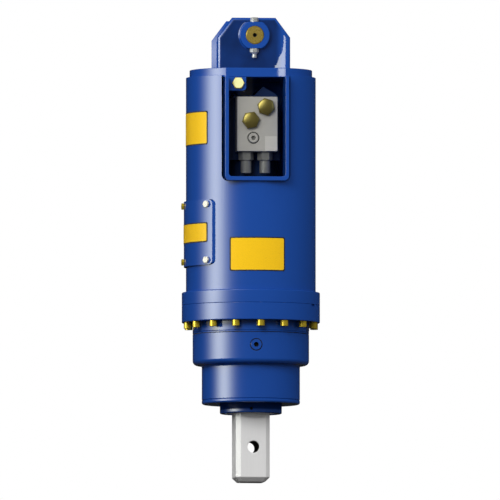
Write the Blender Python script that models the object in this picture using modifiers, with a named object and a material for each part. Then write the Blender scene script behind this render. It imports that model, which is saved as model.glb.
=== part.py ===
"""Hydraulic earth auger drive that hangs from a cross pin.

A tubular hood holds the motor and its valve block. Below it a two-stage planetary
gearbox with one long ring gear turns a square output shaft. Metres, +Z up. The origin
is the middle of the hanger pin on the drive's axis, and the front faces -Y.
"""

import math

import bmesh
import bpy
from mathutils import Matrix

# Clearances and roundness
SEAT_GAP = 0.0003
RUNNING_GAP = 0.0010
JOIN_DEPTH = 0.0005
MERGE_DISTANCE = 0.00001
ROUND_STEPS = 40
SMALL_STEPS = 24
FASTENER_STEPS = 12
SHANK_STEPS = 8
ROUND_PROFILE = 0.5

# Hitch: two ears, their bosses and the hanger pin
PIN_HEIGHT = 0.0725
PIN_DIAMETER = 0.040
PIN_CHAMFER = 0.0015
PIN_CENTRE_HOLE = 0.007
PIN_CENTRE_DEPTH = 0.012
EAR_GAP = 0.112
EAR_THICKNESS = 0.020
EAR_HALF_WIDTH = 0.0795
EAR_HEIGHT = 0.110
EAR_CORNER_ACROSS = 0.032
EAR_CORNER_DOWN = 0.043
EAR_EDGE_ROUND = 0.0085
BOSS_DIAMETER = 0.064
BOSS_FLAT_HEIGHT = 0.0287
BOSS_LENGTH = 0.017
WELD_SIZE = 0.0045
WELD_SLOPE = 0.0036
LOCK_BOLT_ACROSS = 0.016
LOCK_BOLT_HEAD = 0.0065
LOCK_BOLT_SHANK = 0.010
LOCK_BOLT_REACH = 0.016
NIPPLE_ACROSS = 0.0165
NIPPLE_BODY = 0.0085
NIPPLE_CONE = 0.0045
NIPPLE_CONE_INSET = 0.0019
NIPPLE_TIP_DIAMETER = 0.0095
NIPPLE_TIP = 0.008
NIPPLE_TIP_CHAMFER = 0.0015
NIPPLE_STUB_DIAMETER = 0.008
NIPPLE_STUB = 0.006

# Hood: top plate, tube, flange, access panel and hose window
PLATE_THICKNESS = 0.020
PLATE_STAND = 0.0161
PLATE_FACET_DEPTH = 0.0172
TUBE_WALL = 0.0075
TUBE_LENGTH = 0.4674
HOOD_FLANGE_THICKNESS = 0.0283
FLANGE_OVERHANG = 0.0091
FLANGE_EDGE_ROUND = 0.002
WINDOW_HALF_WIDTH = 0.071
WINDOW_WALL = 0.008
WINDOW_SILL = 0.009
WINDOW_SILL_BELOW_PLATE = 0.2275
WINDOW_CORNER = 0.011
WINDOW_LIP_SETBACK = 0.001
WINDOW_DEPTH = 0.056
WINDOW_SIDE_GAP = 0.004
LUG_LEFT = 0.041
LUG_DROP = 0.030
LUG_SETBACK = 0.022
LUG_THICKNESS = 0.010
LUG_CORNER = 0.008
LUG_BOLT_X = -0.039
LUG_BOLT_DROP = 0.0135
LUG_BOLT_ACROSS = 0.023
LUG_BOLT_HEAD = 0.009
LUG_BOLT_SHANK = 0.014
LUG_BOLT_TAIL = 0.008
PANEL_HEIGHT = 0.142
PANEL_MIDDLE_ABOVE_FLANGE = 0.1265
PANEL_HALF_WIDTH = 0.1105
PANEL_THICKNESS = 0.0044
PANEL_CORNER = 0.009
PANEL_OPENING_MARGIN = 0.026
PANEL_SCREW_INSET = 0.0102
PANEL_SCREW_ACROSS = 0.013
PANEL_SCREW_HEAD = 0.006
PANEL_SCREW_SHANK = 0.008
PANEL_SCREW_TAIL = 0.004

# Gearbox housings
CASING_FLANGE_THICKNESS = 0.0369
CASING_SPIGOT = 0.016
RING_WALL = 0.0273
NECK_LENGTH = 0.0218
HOUSING_LENGTH = 0.071
HOUSING_CORNER = 0.010
NOSE_FILLET = 0.005
NOSE_WALL = 0.0170
NOSE_LENGTH = 0.0760
COVER_THICKNESS = 0.0084
COVER_EDGE_ROUND = 0.004
PRY_SLOT_LENGTH = 0.0156
PRY_SLOT_HEIGHT = 0.0043
PRY_SLOT_DEPTH = 0.005
PRY_SLOT_AZIMUTH = 59.0
FLANGE_SCREW_COUNT = 16
FLANGE_SCREW_INSET = 0.011
FLANGE_SCREW_CLEAR = 0.0042
FLANGE_SCREW_START = 3.65
FLANGE_SCREW_HEAD = 0.0168
FLANGE_SCREW_HEIGHT = 0.013
FLANGE_SCREW_SHANK = 0.010
FLANGE_SCREW_LENGTH = 0.055
FILL_PLUG_DIAMETER = 0.027
FILL_PLUG_SOCKET = 0.010
FILL_PLUG_DEPTH = 0.014
FILL_PLUG_BELOW_SEAM = 0.0316

# Output shaft, its collar, seal and bearings
SHAFT_SQUARE = 0.075
SHAFT_CORNER = 0.0098
SHAFT_END_CHAMFER = 0.010
SHAFT_REACH = 0.149
SHAFT_TURN = 3.2
SHAFT_HOLE_DIAMETER = 0.026
SHAFT_HOLE_HEIGHT = 0.0757
JOURNAL_DIAMETER = 0.110
COLLAR_DIAMETER = 0.1346
COLLAR_DROP = 0.0206
COLLAR_EDGE_ROUND = 0.005
COLLAR_HOLE = 0.007
COLLAR_HOLE_RISE = 0.0128
COLLAR_HOLE_AZIMUTH = -4.5
SEAL_WIDTH = 0.012
SEAL_WALL = 0.014
BEARING_WIDTH = 0.030
BEARING_SECTION = 0.034
BEARING_TAPER = 0.004
BEARING_SHOULDER = 0.007
BEARING_SPACING = 0.074
CARRIER_CLEAR = 0.008
CARRIER_RISE = 0.006

# Gears
MODULE = 0.0045
PRESSURE_ANGLE = 20.0
RING_TEETH = 42
PLANET_TEETH = 15
SUN_TEETH = 12
PLANET_COUNT = 3
TOOTH_ADDENDUM = 0.8
RING_ADDENDUM = 0.65
TOOTH_DEDENDUM = 1.05
BACKLASH = 0.0005
RING_FLANK_RELIEF = 0.0005
SLOW_GEAR_WIDTH = 0.029
FAST_GEAR_WIDTH = 0.021
PLANET_PIN_DIAMETER = 0.020
FAST_CARRIER_THICKNESS = 0.009
FAST_CARRIER_CLEAR = 0.0096
INPUT_SHAFT_DIAMETER = 0.028
INPUT_SHAFT_IN_MOTOR = 0.020

# Motor, adapter and valve block
ADAPTER_THICKNESS = 0.016
ADAPTER_BORE = 0.090
MOTOR_FLANGE_DIAMETER = 0.176
MOTOR_FLANGE_THICKNESS = 0.016
MOTOR_DIAMETER = 0.114
MOTOR_HEAD_BELOW_PLATE = 0.0181
MOTOR_HEAD_HEIGHT = 0.160
MOTOR_HEAD_HALF_WIDTH = 0.057
MOTOR_HEAD_FRONT = 0.060
MOTOR_HEAD_BACK = 0.050
MOTOR_PEAK_X = 0.021
MOTOR_SHOULDER = 0.016
MOTOR_STEP = 0.0192
MOTOR_BODY_IN_HEAD = 0.040
BLOCK_LEFT = 0.040
BLOCK_RIGHT = 0.048
BLOCK_HEIGHT = 0.1187
BLOCK_DEPTH = 0.050
BLOCK_BELOW_PLATE = 0.0428
BLOCK_EDGE = 0.0012
PORT_A_X = 0.0225
PORT_A_DOWN = 0.0222
PORT_B_X = -0.0108
PORT_B_DOWN = 0.0514
PORT_PLUG_ACROSS = 0.034
PORT_PLUG_HEAD = 0.013
PORT_PLUG_STUB_DIAMETER = 0.026
PORT_PLUG_STUB = 0.014
GAUGE_X = -0.005
GAUGE_DOWN = 0.0897
GAUGE_DIAMETER = 0.026
GAUGE_HEAD = 0.003
GAUGE_SOCKET = 0.009
GAUGE_SOCKET_DEPTH = 0.007
GAUGE_STUB_DIAMETER = 0.018
RELIEF_A_X = -0.0185
RELIEF_B_X = 0.0226
RELIEF_ACROSS = 0.0285
RELIEF_HEX_HEIGHT = 0.019
RELIEF_DIAMETER = 0.0235
RELIEF_TUBE_LENGTH = 0.028
RELIEF_TUBE_CHAMFER = 0.0024
RELIEF_STUB_DIAMETER = 0.018
RELIEF_STUB = 0.012

# Heights that follow from the sizes above, from the hanger pin down
PLATE_TOP = -PIN_HEIGHT
PLATE_BOTTOM = PLATE_TOP - PLATE_THICKNESS
TUBE_TOP = PLATE_TOP - PLATE_STAND
TUBE_BOTTOM = TUBE_TOP - TUBE_LENGTH
HOOD_FLANGE_TOP = TUBE_BOTTOM - SEAT_GAP
HOOD_FLANGE_BOTTOM = HOOD_FLANGE_TOP - HOOD_FLANGE_THICKNESS
CASING_TOP = HOOD_FLANGE_BOTTOM - SEAT_GAP
CASING_FLANGE_BOTTOM = CASING_TOP - CASING_FLANGE_THICKNESS
CASING_BOTTOM = CASING_FLANGE_BOTTOM - NECK_LENGTH
HOUSING_TOP = CASING_BOTTOM - SEAT_GAP
SHOULDER = HOUSING_TOP - HOUSING_LENGTH
HOUSING_BOTTOM = SHOULDER - NOSE_LENGTH
COVER_TOP = HOUSING_BOTTOM - SEAT_GAP
COVER_BOTTOM = COVER_TOP - COVER_THICKNESS
COLLAR_BOTTOM = COVER_BOTTOM - COLLAR_DROP
SHAFT_END = COLLAR_BOTTOM - SHAFT_REACH
SPIGOT_TOP = CASING_TOP + CASING_SPIGOT
FLANGE_SCREW_TIP = CASING_FLANGE_BOTTOM - SEAT_GAP + FLANGE_SCREW_LENGTH

# Gear sizes
GEAR_CENTRES = MODULE * (SUN_TEETH + PLANET_TEETH) / 2
SUN_TIP = MODULE * (SUN_TEETH / 2 + TOOTH_ADDENDUM)
SUN_ROOT = MODULE * (SUN_TEETH / 2 - TOOTH_DEDENDUM)
PLANET_TIP = MODULE * (PLANET_TEETH / 2 + TOOTH_ADDENDUM)
PLANET_ROOT = MODULE * (PLANET_TEETH / 2 - TOOTH_DEDENDUM)
RING_TIP = MODULE * (RING_TEETH / 2 - RING_ADDENDUM)
RING_ROOT = MODULE * (RING_TEETH / 2 + TOOTH_DEDENDUM)
PLANET_PIN_RADIUS = PLANET_PIN_DIAMETER / 2
PLANET_BORE = (PLANET_PIN_RADIUS + SEAT_GAP) / math.cos(math.pi / FASTENER_STEPS)

# Radii that follow from the gears and the shaft, from the inside out
JOURNAL_RADIUS = JOURNAL_DIAMETER / 2
CONE_BORE = JOURNAL_RADIUS + SEAT_GAP
CUP_RADIUS = CONE_BORE + BEARING_SECTION
CUP_SEAT = CUP_RADIUS + SEAT_GAP
SEAL_RADIUS = CONE_BORE + SEAL_WALL
SEAL_SEAT = SEAL_RADIUS + SEAT_GAP
NOSE_RADIUS = CUP_SEAT + NOSE_WALL
COLLAR_RADIUS = COLLAR_DIAMETER / 2
COLLAR_CLEAR = COLLAR_RADIUS + RUNNING_GAP
CARRIER_ROOM_RADIUS = RING_ROOT + MODULE
CARRIER_RADIUS = CARRIER_ROOM_RADIUS - CARRIER_CLEAR
FAST_CARRIER_RADIUS = RING_TIP - FAST_CARRIER_CLEAR
CASING_RADIUS = RING_ROOT + RING_WALL
FLANGE_SCREW_RADIUS = CASING_RADIUS + FLANGE_SCREW_CLEAR + FLANGE_SCREW_HEAD / 2
FLANGE_RADIUS = FLANGE_SCREW_RADIUS + FLANGE_SCREW_INSET
TUBE_RADIUS = FLANGE_RADIUS - FLANGE_OVERHANG
TUBE_BORE = TUBE_RADIUS - TUBE_WALL
PLATE_RADIUS = TUBE_BORE - SEAT_GAP
PLATE_FACET = PLATE_RADIUS - PLATE_FACET_DEPTH
SPIGOT_RADIUS = TUBE_BORE - SEAT_GAP

# The hitch, from the middle out
EAR_INNER_FACE = EAR_GAP / 2
EAR_OUTER_FACE = EAR_INNER_FACE + EAR_THICKNESS
BOSS_FACE = EAR_OUTER_FACE + BOSS_LENGTH
BOSS_MIDDLE = (EAR_OUTER_FACE + BOSS_FACE) / 2

# Heights inside the gearbox, from the cover up
SEAL_BOTTOM = HOUSING_BOTTOM + SEAT_GAP
SEAL_TOP = SEAL_BOTTOM + SEAL_WIDTH
LOWER_BEARING_BOTTOM = SEAL_TOP + SEAT_GAP + BEARING_SHOULDER / 2
LOWER_BEARING_TOP = LOWER_BEARING_BOTTOM + BEARING_WIDTH
UPPER_BEARING_BOTTOM = LOWER_BEARING_BOTTOM + BEARING_SPACING
UPPER_BEARING_TOP = UPPER_BEARING_BOTTOM + BEARING_WIDTH
CARRIER_BOTTOM = UPPER_BEARING_TOP + SEAT_GAP
CARRIER_TOP = CASING_BOTTOM + CARRIER_RISE
SLOW_GEAR_BOTTOM = CARRIER_TOP + RUNNING_GAP / 2
SLOW_GEAR_TOP = SLOW_GEAR_BOTTOM + SLOW_GEAR_WIDTH
FAST_CARRIER_BOTTOM = SLOW_GEAR_TOP + RUNNING_GAP
FAST_CARRIER_TOP = FAST_CARRIER_BOTTOM + FAST_CARRIER_THICKNESS
FAST_GEAR_BOTTOM = FAST_CARRIER_TOP + RUNNING_GAP / 2
FAST_GEAR_TOP = FAST_GEAR_BOTTOM + FAST_GEAR_WIDTH
RING_BOTTOM = CARRIER_TOP + RUNNING_GAP
ADAPTER_BOTTOM = SPIGOT_TOP + SEAT_GAP
ADAPTER_TOP = ADAPTER_BOTTOM + ADAPTER_THICKNESS
MOTOR_BOTTOM = ADAPTER_TOP + SEAT_GAP
MOTOR_FLANGE_TOP = MOTOR_BOTTOM + MOTOR_FLANGE_THICKNESS
MOTOR_PEAK = PLATE_BOTTOM - MOTOR_HEAD_BELOW_PLATE

# Heights and places in the hood
WINDOW_TOP = PLATE_BOTTOM - SEAT_GAP
WINDOW_BOTTOM = PLATE_BOTTOM - WINDOW_SILL_BELOW_PLATE
WINDOW_LIP = TUBE_RADIUS - WINDOW_LIP_SETBACK
LUG_FRONT = WINDOW_LIP - LUG_SETBACK
PANEL_MIDDLE = HOOD_FLANGE_TOP + PANEL_MIDDLE_ABOVE_FLANGE
PANEL_INNER = TUBE_RADIUS + SEAT_GAP
PANEL_OUTER = PANEL_INNER + PANEL_THICKNESS
PANEL_SCREW_RISE = PANEL_HEIGHT / 2 - PANEL_SCREW_INSET
PANEL_SCREW_SPREAD = math.degrees(math.asin((PANEL_HALF_WIDTH - PANEL_SCREW_INSET) / PANEL_OUTER))
BLOCK_TOP = PLATE_BOTTOM - BLOCK_BELOW_PLATE
BLOCK_BOTTOM = BLOCK_TOP - BLOCK_HEIGHT
BLOCK_BACK = -MOTOR_HEAD_FRONT - SEAT_GAP
BLOCK_FACE = BLOCK_BACK - BLOCK_DEPTH

UPRIGHT = Matrix.Identity(4)
FACING_Y = Matrix(((1, 0, 0, 0), (0, 0, -1, 0), (0, 1, 0, 0), (0, 0, 0, 1)))
FACING_X = Matrix(((0, 0, 1, 0), (1, 0, 0, 0), (0, 1, 0, 0), (0, 0, 0, 1)))


def clear_scene():
    """Remove every object, so that the script can run again in the same file."""
    for item in list(bpy.data.objects):
        bpy.data.objects.remove(item, do_unlink=True)


def new_collection(name):
    """Link and return a collection of this name."""
    collection = bpy.data.collections.new(name)
    bpy.context.scene.collection.children.link(collection)
    return collection


clear_scene()
PARTS = new_collection("earth_auger_drive")
CUTTERS = new_collection("cutters")


def finish(name, colour, roughness, metallic):
    """Make a Principled material."""
    material = bpy.data.materials.new(name)
    material.use_nodes = True
    shader = material.node_tree.nodes["Principled BSDF"]
    shader.inputs["Base Color"].default_value = (*colour, 1.0)
    shader.inputs["Roughness"].default_value = roughness
    shader.inputs["Metallic"].default_value = metallic
    return material


BLUE_PAINT = finish("blue_paint", (0.014, 0.072, 0.36), 0.32, 0.0)
ZINC_YELLOW = finish("zinc_yellow", (0.58, 0.40, 0.02), 0.35, 0.9)
ZINC_SILVER = finish("zinc_silver", (0.62, 0.62, 0.60), 0.35, 0.9)
BRIGHT_STEEL = finish("bright_steel", (0.66, 0.66, 0.66), 0.3, 1.0)
PIN_STEEL = finish("pin_steel", (0.32, 0.23, 0.06), 0.4, 0.9)
CAST_ALUMINIUM = finish("cast_aluminium", (0.34, 0.33, 0.31), 0.5, 0.8)
PLUG_OLIVE = finish("plug_olive", (0.32, 0.27, 0.07), 0.4, 0.8)
DARK_STEEL = finish("dark_steel", (0.16, 0.16, 0.15), 0.45, 0.9)
MOTOR_BLUE = finish("motor_blue", (0.008, 0.032, 0.13), 0.5, 0.0)
SEAL_RUBBER = finish("seal_rubber", (0.02, 0.02, 0.02), 0.8, 0.0)
GEAR_STEEL = finish("gear_steel", (0.42, 0.42, 0.42), 0.4, 1.0)


def shade(item):
    """Shade the round faces smooth and keep the corners sharp."""
    item.data.shade_smooth()
    item.data.set_sharp_from_angle(angle=math.radians(32))


def place_piece(item, material):
    """Put a finished piece in the part's collection with its material."""
    for collection in list(item.users_collection):
        collection.objects.unlink(item)
    PARTS.objects.link(item)
    item.hide_render = False
    item.display_type = "TEXTURED"
    item.data.materials.clear()
    item.data.materials.append(material)
    shade(item)
    return item


def new_guide(name, mesh):
    """Make a hidden object that only shapes other pieces."""
    item = bpy.data.objects.new(name, mesh)
    CUTTERS.objects.link(item)
    item.hide_render = True
    item.display_type = "WIRE"
    return item


def solid_mesh(name, item):
    """Return the evaluated mesh of an object, in world space, welded and facing out."""
    bpy.context.view_layer.update()
    depsgraph = bpy.context.evaluated_depsgraph_get()
    mesh = bpy.data.meshes.new_from_object(item.evaluated_get(depsgraph))
    mesh.name = name
    mesh.transform(item.matrix_world)
    shape = bmesh.new()
    shape.from_mesh(mesh)
    bmesh.ops.remove_doubles(shape, verts=shape.verts, dist=MERGE_DISTANCE)
    bmesh.ops.recalc_face_normals(shape, faces=shape.faces)
    shape.to_mesh(mesh)
    shape.free()
    return mesh


def prism(name, outlines, low, high, frame=UPRIGHT):
    """Extrude closed outlines, holes included, between two levels of a frame."""
    curve = bpy.data.curves.new(name, "CURVE")
    curve.dimensions = "2D"
    curve.fill_mode = "BOTH"
    curve.extrude = (high - low) / 2
    for outline in outlines:
        spline = curve.splines.new("POLY")
        spline.points.add(len(outline) - 1)
        for point, (across, up) in zip(spline.points, outline):
            point.co = (across, up, 0.0, 1.0)
        spline.use_cyclic_u = True
    item = bpy.data.objects.new(name, curve)
    CUTTERS.objects.link(item)
    item.matrix_world = frame @ Matrix.Translation((0, 0, (low + high) / 2))
    mesh = solid_mesh(name, item)
    bpy.data.objects.remove(item)
    return new_guide(name, mesh)


def turned(name, profile, closed, steps=ROUND_STEPS):
    """Revolve a profile of (radius, height) points about Z with a Screw modifier."""
    mesh = bpy.data.meshes.new(name)
    count = len(profile)
    edges = [(index, index + 1) for index in range(count - 1)]
    if closed:
        edges.append((count - 1, 0))
    mesh.from_pydata([(radius, 0.0, height) for radius, height in profile], edges, [])
    item = bpy.data.objects.new(name, mesh)
    CUTTERS.objects.link(item)
    screw = item.modifiers.new("turn", "SCREW")
    screw.axis = "Z"
    screw.angle = math.tau
    screw.steps = steps
    screw.render_steps = steps
    screw.use_merge_vertices = True
    screw.merge_threshold = MERGE_DISTANCE
    mesh = solid_mesh(name, item)
    bpy.data.objects.remove(item)
    return new_guide(name, mesh)


def rod(name, radius, low, high, steps=FASTENER_STEPS):
    """Make a plain round bar along Z."""
    return turned(name, [(0, high), (radius, high), (radius, low), (0, low)], False, steps)


def hexagon(across):
    """Return a hexagon of this size across its flats, with corners left and right."""
    corner = across / math.sqrt(3)
    return [polar(corner, 60 * index) for index in range(6)]


def polar(radius, degrees):
    """Return the point at this radius and angle."""
    angle = math.radians(degrees)
    return (radius * math.cos(angle), radius * math.sin(angle))


def arc(centre, radius, start, end, steps):
    """Return points on an arc between two angles in degrees."""
    points = []
    for index in range(steps + 1):
        across, up = polar(radius, start + (end - start) * index / steps)
        points.append((centre[0] + across, centre[1] + up))
    return points


def rectangle(left, right, bottom, top):
    """Return a rectangle with sharp corners."""
    return [(right, bottom), (right, top), (left, top), (left, bottom)]


def rounded_rectangle(left, right, bottom, top, corner, steps=3):
    """Return a rectangle with round corners."""
    points = arc((right - corner, bottom + corner), corner, -90, 0, steps)
    points += arc((right - corner, top - corner), corner, 0, 90, steps)
    points += arc((left + corner, top - corner), corner, 90, 180, steps)
    points += arc((left + corner, bottom + corner), corner, 180, 270, steps)
    return points


def around(azimuth, radius, height, outward=0.0):
    """Return a frame on the drive's side: its Z axis points outwards at this azimuth.

    Azimuth 0 is the front, and a positive azimuth turns to the right side.
    """
    turn = Matrix.Rotation(math.radians(azimuth), 4, "Z")
    lean = Matrix.Rotation(math.radians(90), 4, "X")
    return turn @ Matrix.Translation((0, -radius - outward, height)) @ lean


def moved(item, frame):
    """Move a guide's mesh into a frame."""
    item.data.transform(frame)
    return item


def copy_guide(item, name, frame):
    """Copy a guide with its own mesh into a frame."""
    mesh = item.data.copy()
    mesh.name = name
    mesh.transform(frame)
    return new_guide(name, mesh)


def joined_guide(name, items):
    """Join separate guides into one object of several bodies."""
    shape = bmesh.new()
    for item in items:
        shape.from_mesh(item.data)
        bpy.data.objects.remove(item)
    mesh = bpy.data.meshes.new(name)
    shape.to_mesh(mesh)
    shape.free()
    return new_guide(name, mesh)


def combine(item, other, operation):
    """Cut with, add or keep the common part of another object."""
    modifier = item.modifiers.new(other.name, "BOOLEAN")
    modifier.operation = operation
    modifier.solver = "EXACT"
    modifier.object = other
    return item


def cut(item, other):
    """Subtract another object."""
    return combine(item, other, "DIFFERENCE")


def add(item, other):
    """Join another object to this one."""
    return combine(item, other, "UNION")


def applied(item):
    """Replace a guide that has modifiers with its finished mesh."""
    name = item.name
    mesh = solid_mesh(name, item)
    bpy.data.objects.remove(item)
    result = new_guide(name, mesh)
    return result


def bevel_edges(item, chosen, width, steps):
    """Round the edges that a test on their two end points picks out."""
    shape = bmesh.new()
    shape.from_mesh(item.data)
    bmesh.ops.dissolve_limit(shape, angle_limit=math.radians(0.5), verts=shape.verts, edges=shape.edges)
    edges = [edge for edge in shape.edges if chosen(edge.verts[0].co, edge.verts[1].co)]
    bmesh.ops.bevel(shape, geom=edges, offset=width, segments=steps, profile=ROUND_PROFILE,
                    affect="EDGES", offset_type="OFFSET")
    shape.to_mesh(item.data)
    shape.free()
    return item


def involute(angle):
    """Return the involute function of a pressure angle in radians."""
    return math.tan(angle) - angle


def half_tooth_angle(teeth, radius, thinning):
    """Return half the angle that an involute tooth takes at a radius."""
    pitch_radius = MODULE * teeth / 2
    pressure = math.radians(PRESSURE_ANGLE)
    base_radius = pitch_radius * math.cos(pressure)
    here = math.acos(min(1.0, base_radius / max(radius, base_radius)))
    half_pitch = math.pi / (2 * teeth) - thinning / (2 * pitch_radius)
    return half_pitch + involute(pressure) - involute(here)


def gear_outline(teeth, radii, thinning, turn):
    """Return a gear outline from root to tip, with a tooth centred at the turn angle."""
    points = []
    for tooth in range(teeth):
        middle = math.radians(turn) + math.tau * tooth / teeth
        rising = [(radius, middle - half_tooth_angle(teeth, radius, thinning)) for radius in radii]
        falling = [(radius, middle + half_tooth_angle(teeth, radius, thinning))
                   for radius in reversed(radii)]
        for radius, angle in rising + falling:
            points.append((radius * math.cos(angle), radius * math.sin(angle)))
    return points


def shifted(outline, centre):
    """Move an outline to a new centre."""
    return [(across + centre[0], up + centre[1]) for across, up in outline]


def circle(radius, steps):
    """Return a round outline."""
    return arc((0, 0), radius, 0, 360 * (steps - 1) / steps, steps - 1)


def external_radii(teeth, root, tip):
    """Return the radii of a flank's points: root, between base and pitch circle, and tip."""
    pitch_radius = MODULE * teeth / 2
    base_radius = pitch_radius * math.cos(math.radians(PRESSURE_ANGLE))
    return [root, (base_radius + pitch_radius) / 2, tip]


def planet_places():
    """Return the centre and the direction of each planet, in the plane of the gears."""
    places = []
    for index in range(PLANET_COUNT):
        direction = 360 * index / PLANET_COUNT
        places.append((polar(GEAR_CENTRES, direction), direction))
    return places


def screw_mesh(name, head_outline, head_height, shank_diameter, shank_length, socket=None):
    """Make a screw along Z: its head stands on the plane Z = 0 and its shank hangs below."""
    head = prism(name, [head_outline], 0, head_height)
    shank = rod(name + "_shank", shank_diameter / 2, -shank_length, head_height / 2, SHANK_STEPS)
    add(head, shank)
    if socket:
        across, depth = socket
        recess = prism(name + "_socket", [hexagon(across)], head_height - depth, head_height + depth)
        cut(head, recess)
    return applied(head)


def build_top_plate():
    """The round plate that closes the hood, with a flat facet over the window."""
    plate = rod("top_plate", PLATE_RADIUS, PLATE_BOTTOM, PLATE_TOP, ROUND_STEPS)
    facet = prism(
        "plate_facet_cut",
        [rectangle(-TUBE_RADIUS, TUBE_RADIUS, -TUBE_RADIUS - PLATE_FACET, -PLATE_FACET)],
        PLATE_BOTTOM - PLATE_THICKNESS, PLATE_TOP + PLATE_THICKNESS)
    cut(plate, facet)
    place_piece(plate, BLUE_PAINT)


def boss_outline(radius, flat):
    """Return a circle cut off by a flat above and a flat below."""
    limit = math.degrees(math.asin(flat / radius))
    return arc((0, 0), radius, -limit, limit, 9) + arc((0, 0), radius, 180 - limit, 180 + limit, 9)


def build_ear(name, side):
    """One ear of the hitch with its boss. Side -1 is the front ear and 1 the rear ear."""
    foot = PLATE_TOP + SEAT_GAP
    crown = PLATE_TOP + EAR_HEIGHT
    shoulder = crown - EAR_CORNER_DOWN
    narrow = EAR_HALF_WIDTH - EAR_CORNER_ACROSS
    outline = [
        (-EAR_HALF_WIDTH, foot), (EAR_HALF_WIDTH, foot), (EAR_HALF_WIDTH, shoulder),
        (narrow, crown), (-narrow, crown), (-EAR_HALF_WIDTH, shoulder),
    ]
    faces = sorted((-side * EAR_INNER_FACE, -side * EAR_OUTER_FACE))
    ear = prism(name, [outline], faces[0], faces[1], FACING_Y)

    def on_rim(first, second):
        same_face = abs(first.y - second.y) < MERGE_DISTANCE
        on_foot = max(first.z, second.z) < foot + MERGE_DISTANCE
        return same_face and not on_foot

    bevel_edges(ear, on_rim, EAR_EDGE_ROUND, 2)
    outside = sorted((-side * (EAR_OUTER_FACE - EAR_THICKNESS / 2), -side * BOSS_FACE))
    boss = prism(name + "_boss", [boss_outline(BOSS_DIAMETER / 2, BOSS_FLAT_HEIGHT)],
                 outside[0], outside[1], FACING_Y)
    add(ear, boss)
    weld_span = sorted((-side * (EAR_OUTER_FACE - WELD_SIZE), -side * (EAR_OUTER_FACE + WELD_SIZE)))
    weld = prism(name + "_weld", [boss_outline(BOSS_DIAMETER / 2 + WELD_SIZE, BOSS_FLAT_HEIGHT - JOIN_DEPTH)],
                 weld_span[0], weld_span[1], FACING_Y)
    weld_face = side * (EAR_OUTER_FACE + WELD_SIZE)

    def on_weld_face(first, second):
        return max(abs(first.y - weld_face), abs(second.y - weld_face)) < MERGE_DISTANCE

    add(ear, bevel_edges(weld, on_weld_face, WELD_SLOPE, 1))
    bore = rod(name + "_bore", PIN_DIAMETER / 2 + SEAT_GAP, -2 * BOSS_FACE, 2 * BOSS_FACE, SMALL_STEPS)
    cut(ear, moved(bore, Matrix.Rotation(math.radians(90), 4, "X")))
    return ear


def build_hitch():
    """Both ears, the hanger pin, its lock bolt and its grease nipple."""
    front = build_ear("front_ear", -1)
    bolt_hole = rod("lock_bolt_hole", LOCK_BOLT_SHANK / 2 + SEAT_GAP, 0, BOSS_DIAMETER, SHANK_STEPS)
    nipple_hole = rod("nipple_hole", NIPPLE_STUB_DIAMETER / 2 + SEAT_GAP, -BOSS_DIAMETER, 0, SHANK_STEPS)
    for hole in (bolt_hole, nipple_hole):
        moved(hole, Matrix.Translation((0, -BOSS_MIDDLE, 0)))
        cut(front, hole)
    place_piece(front, BLUE_PAINT)
    place_piece(build_ear("rear_ear", 1), BLUE_PAINT)

    half = BOSS_FACE
    radius = PIN_DIAMETER / 2
    hole = PIN_CENTRE_HOLE / 2
    depth = half - PIN_CENTRE_DEPTH
    pin = turned("hanger_pin", [
        (0, depth), (hole, depth), (hole, half), (radius - PIN_CHAMFER, half), (radius, half - PIN_CHAMFER),
        (radius, -half + PIN_CHAMFER), (radius - PIN_CHAMFER, -half), (0, -half)], False, SMALL_STEPS)
    moved(pin, Matrix.Rotation(math.radians(90), 4, "X"))
    notch = rod("pin_notch", LOCK_BOLT_SHANK / 2 + SEAT_GAP,
                BOSS_FLAT_HEIGHT - LOCK_BOLT_REACH - SEAT_GAP, BOSS_DIAMETER, SHANK_STEPS)
    cut(pin, moved(notch, Matrix.Translation((0, -BOSS_MIDDLE, 0))))
    place_piece(pin, PIN_STEEL)

    bolt = screw_mesh("pin_lock_bolt", hexagon(LOCK_BOLT_ACROSS), LOCK_BOLT_HEAD,
                      LOCK_BOLT_SHANK, LOCK_BOLT_REACH)
    moved(bolt, Matrix.Translation((0, -BOSS_MIDDLE, BOSS_FLAT_HEIGHT + SEAT_GAP)))
    place_piece(bolt, ZINC_SILVER)

    cone_foot = NIPPLE_ACROSS / math.sqrt(3) - NIPPLE_CONE_INSET
    tip_radius = NIPPLE_TIP_DIAMETER / 2
    body = NIPPLE_BODY
    cone = body + NIPPLE_CONE
    tip = cone + NIPPLE_TIP
    nipple = prism("grease_nipple", [hexagon(NIPPLE_ACROSS)], 0, body)
    neck = turned("nipple_neck", [
        (0, tip), (tip_radius - NIPPLE_TIP_CHAMFER, tip), (tip_radius, tip - NIPPLE_TIP_CHAMFER),
        (tip_radius, cone), (cone_foot, body - JOIN_DEPTH), (cone_foot, body / 2), (0, body / 2)],
        False, FASTENER_STEPS)
    add(nipple, neck)
    stub = rod("nipple_stub", NIPPLE_STUB_DIAMETER / 2, -NIPPLE_STUB, body / 2, SHANK_STEPS)
    add(nipple, stub)
    nipple = applied(nipple)
    upside_down = Matrix.Rotation(math.radians(180), 4, "Y")
    moved(nipple, Matrix.Translation((0, -BOSS_MIDDLE, -BOSS_FLAT_HEIGHT - SEAT_GAP)) @ upside_down)
    place_piece(nipple, ZINC_SILVER)


def panel_screw_frames():
    """Return the frame of each access panel screw, on the panel's outer face."""
    frames = []
    for rise in (PANEL_SCREW_RISE, -PANEL_SCREW_RISE):
        for turn in (-90 + PANEL_SCREW_SPREAD, -90, -90 - PANEL_SCREW_SPREAD):
            frames.append(around(turn, PANEL_OUTER, PANEL_MIDDLE + rise))
    return frames


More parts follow.
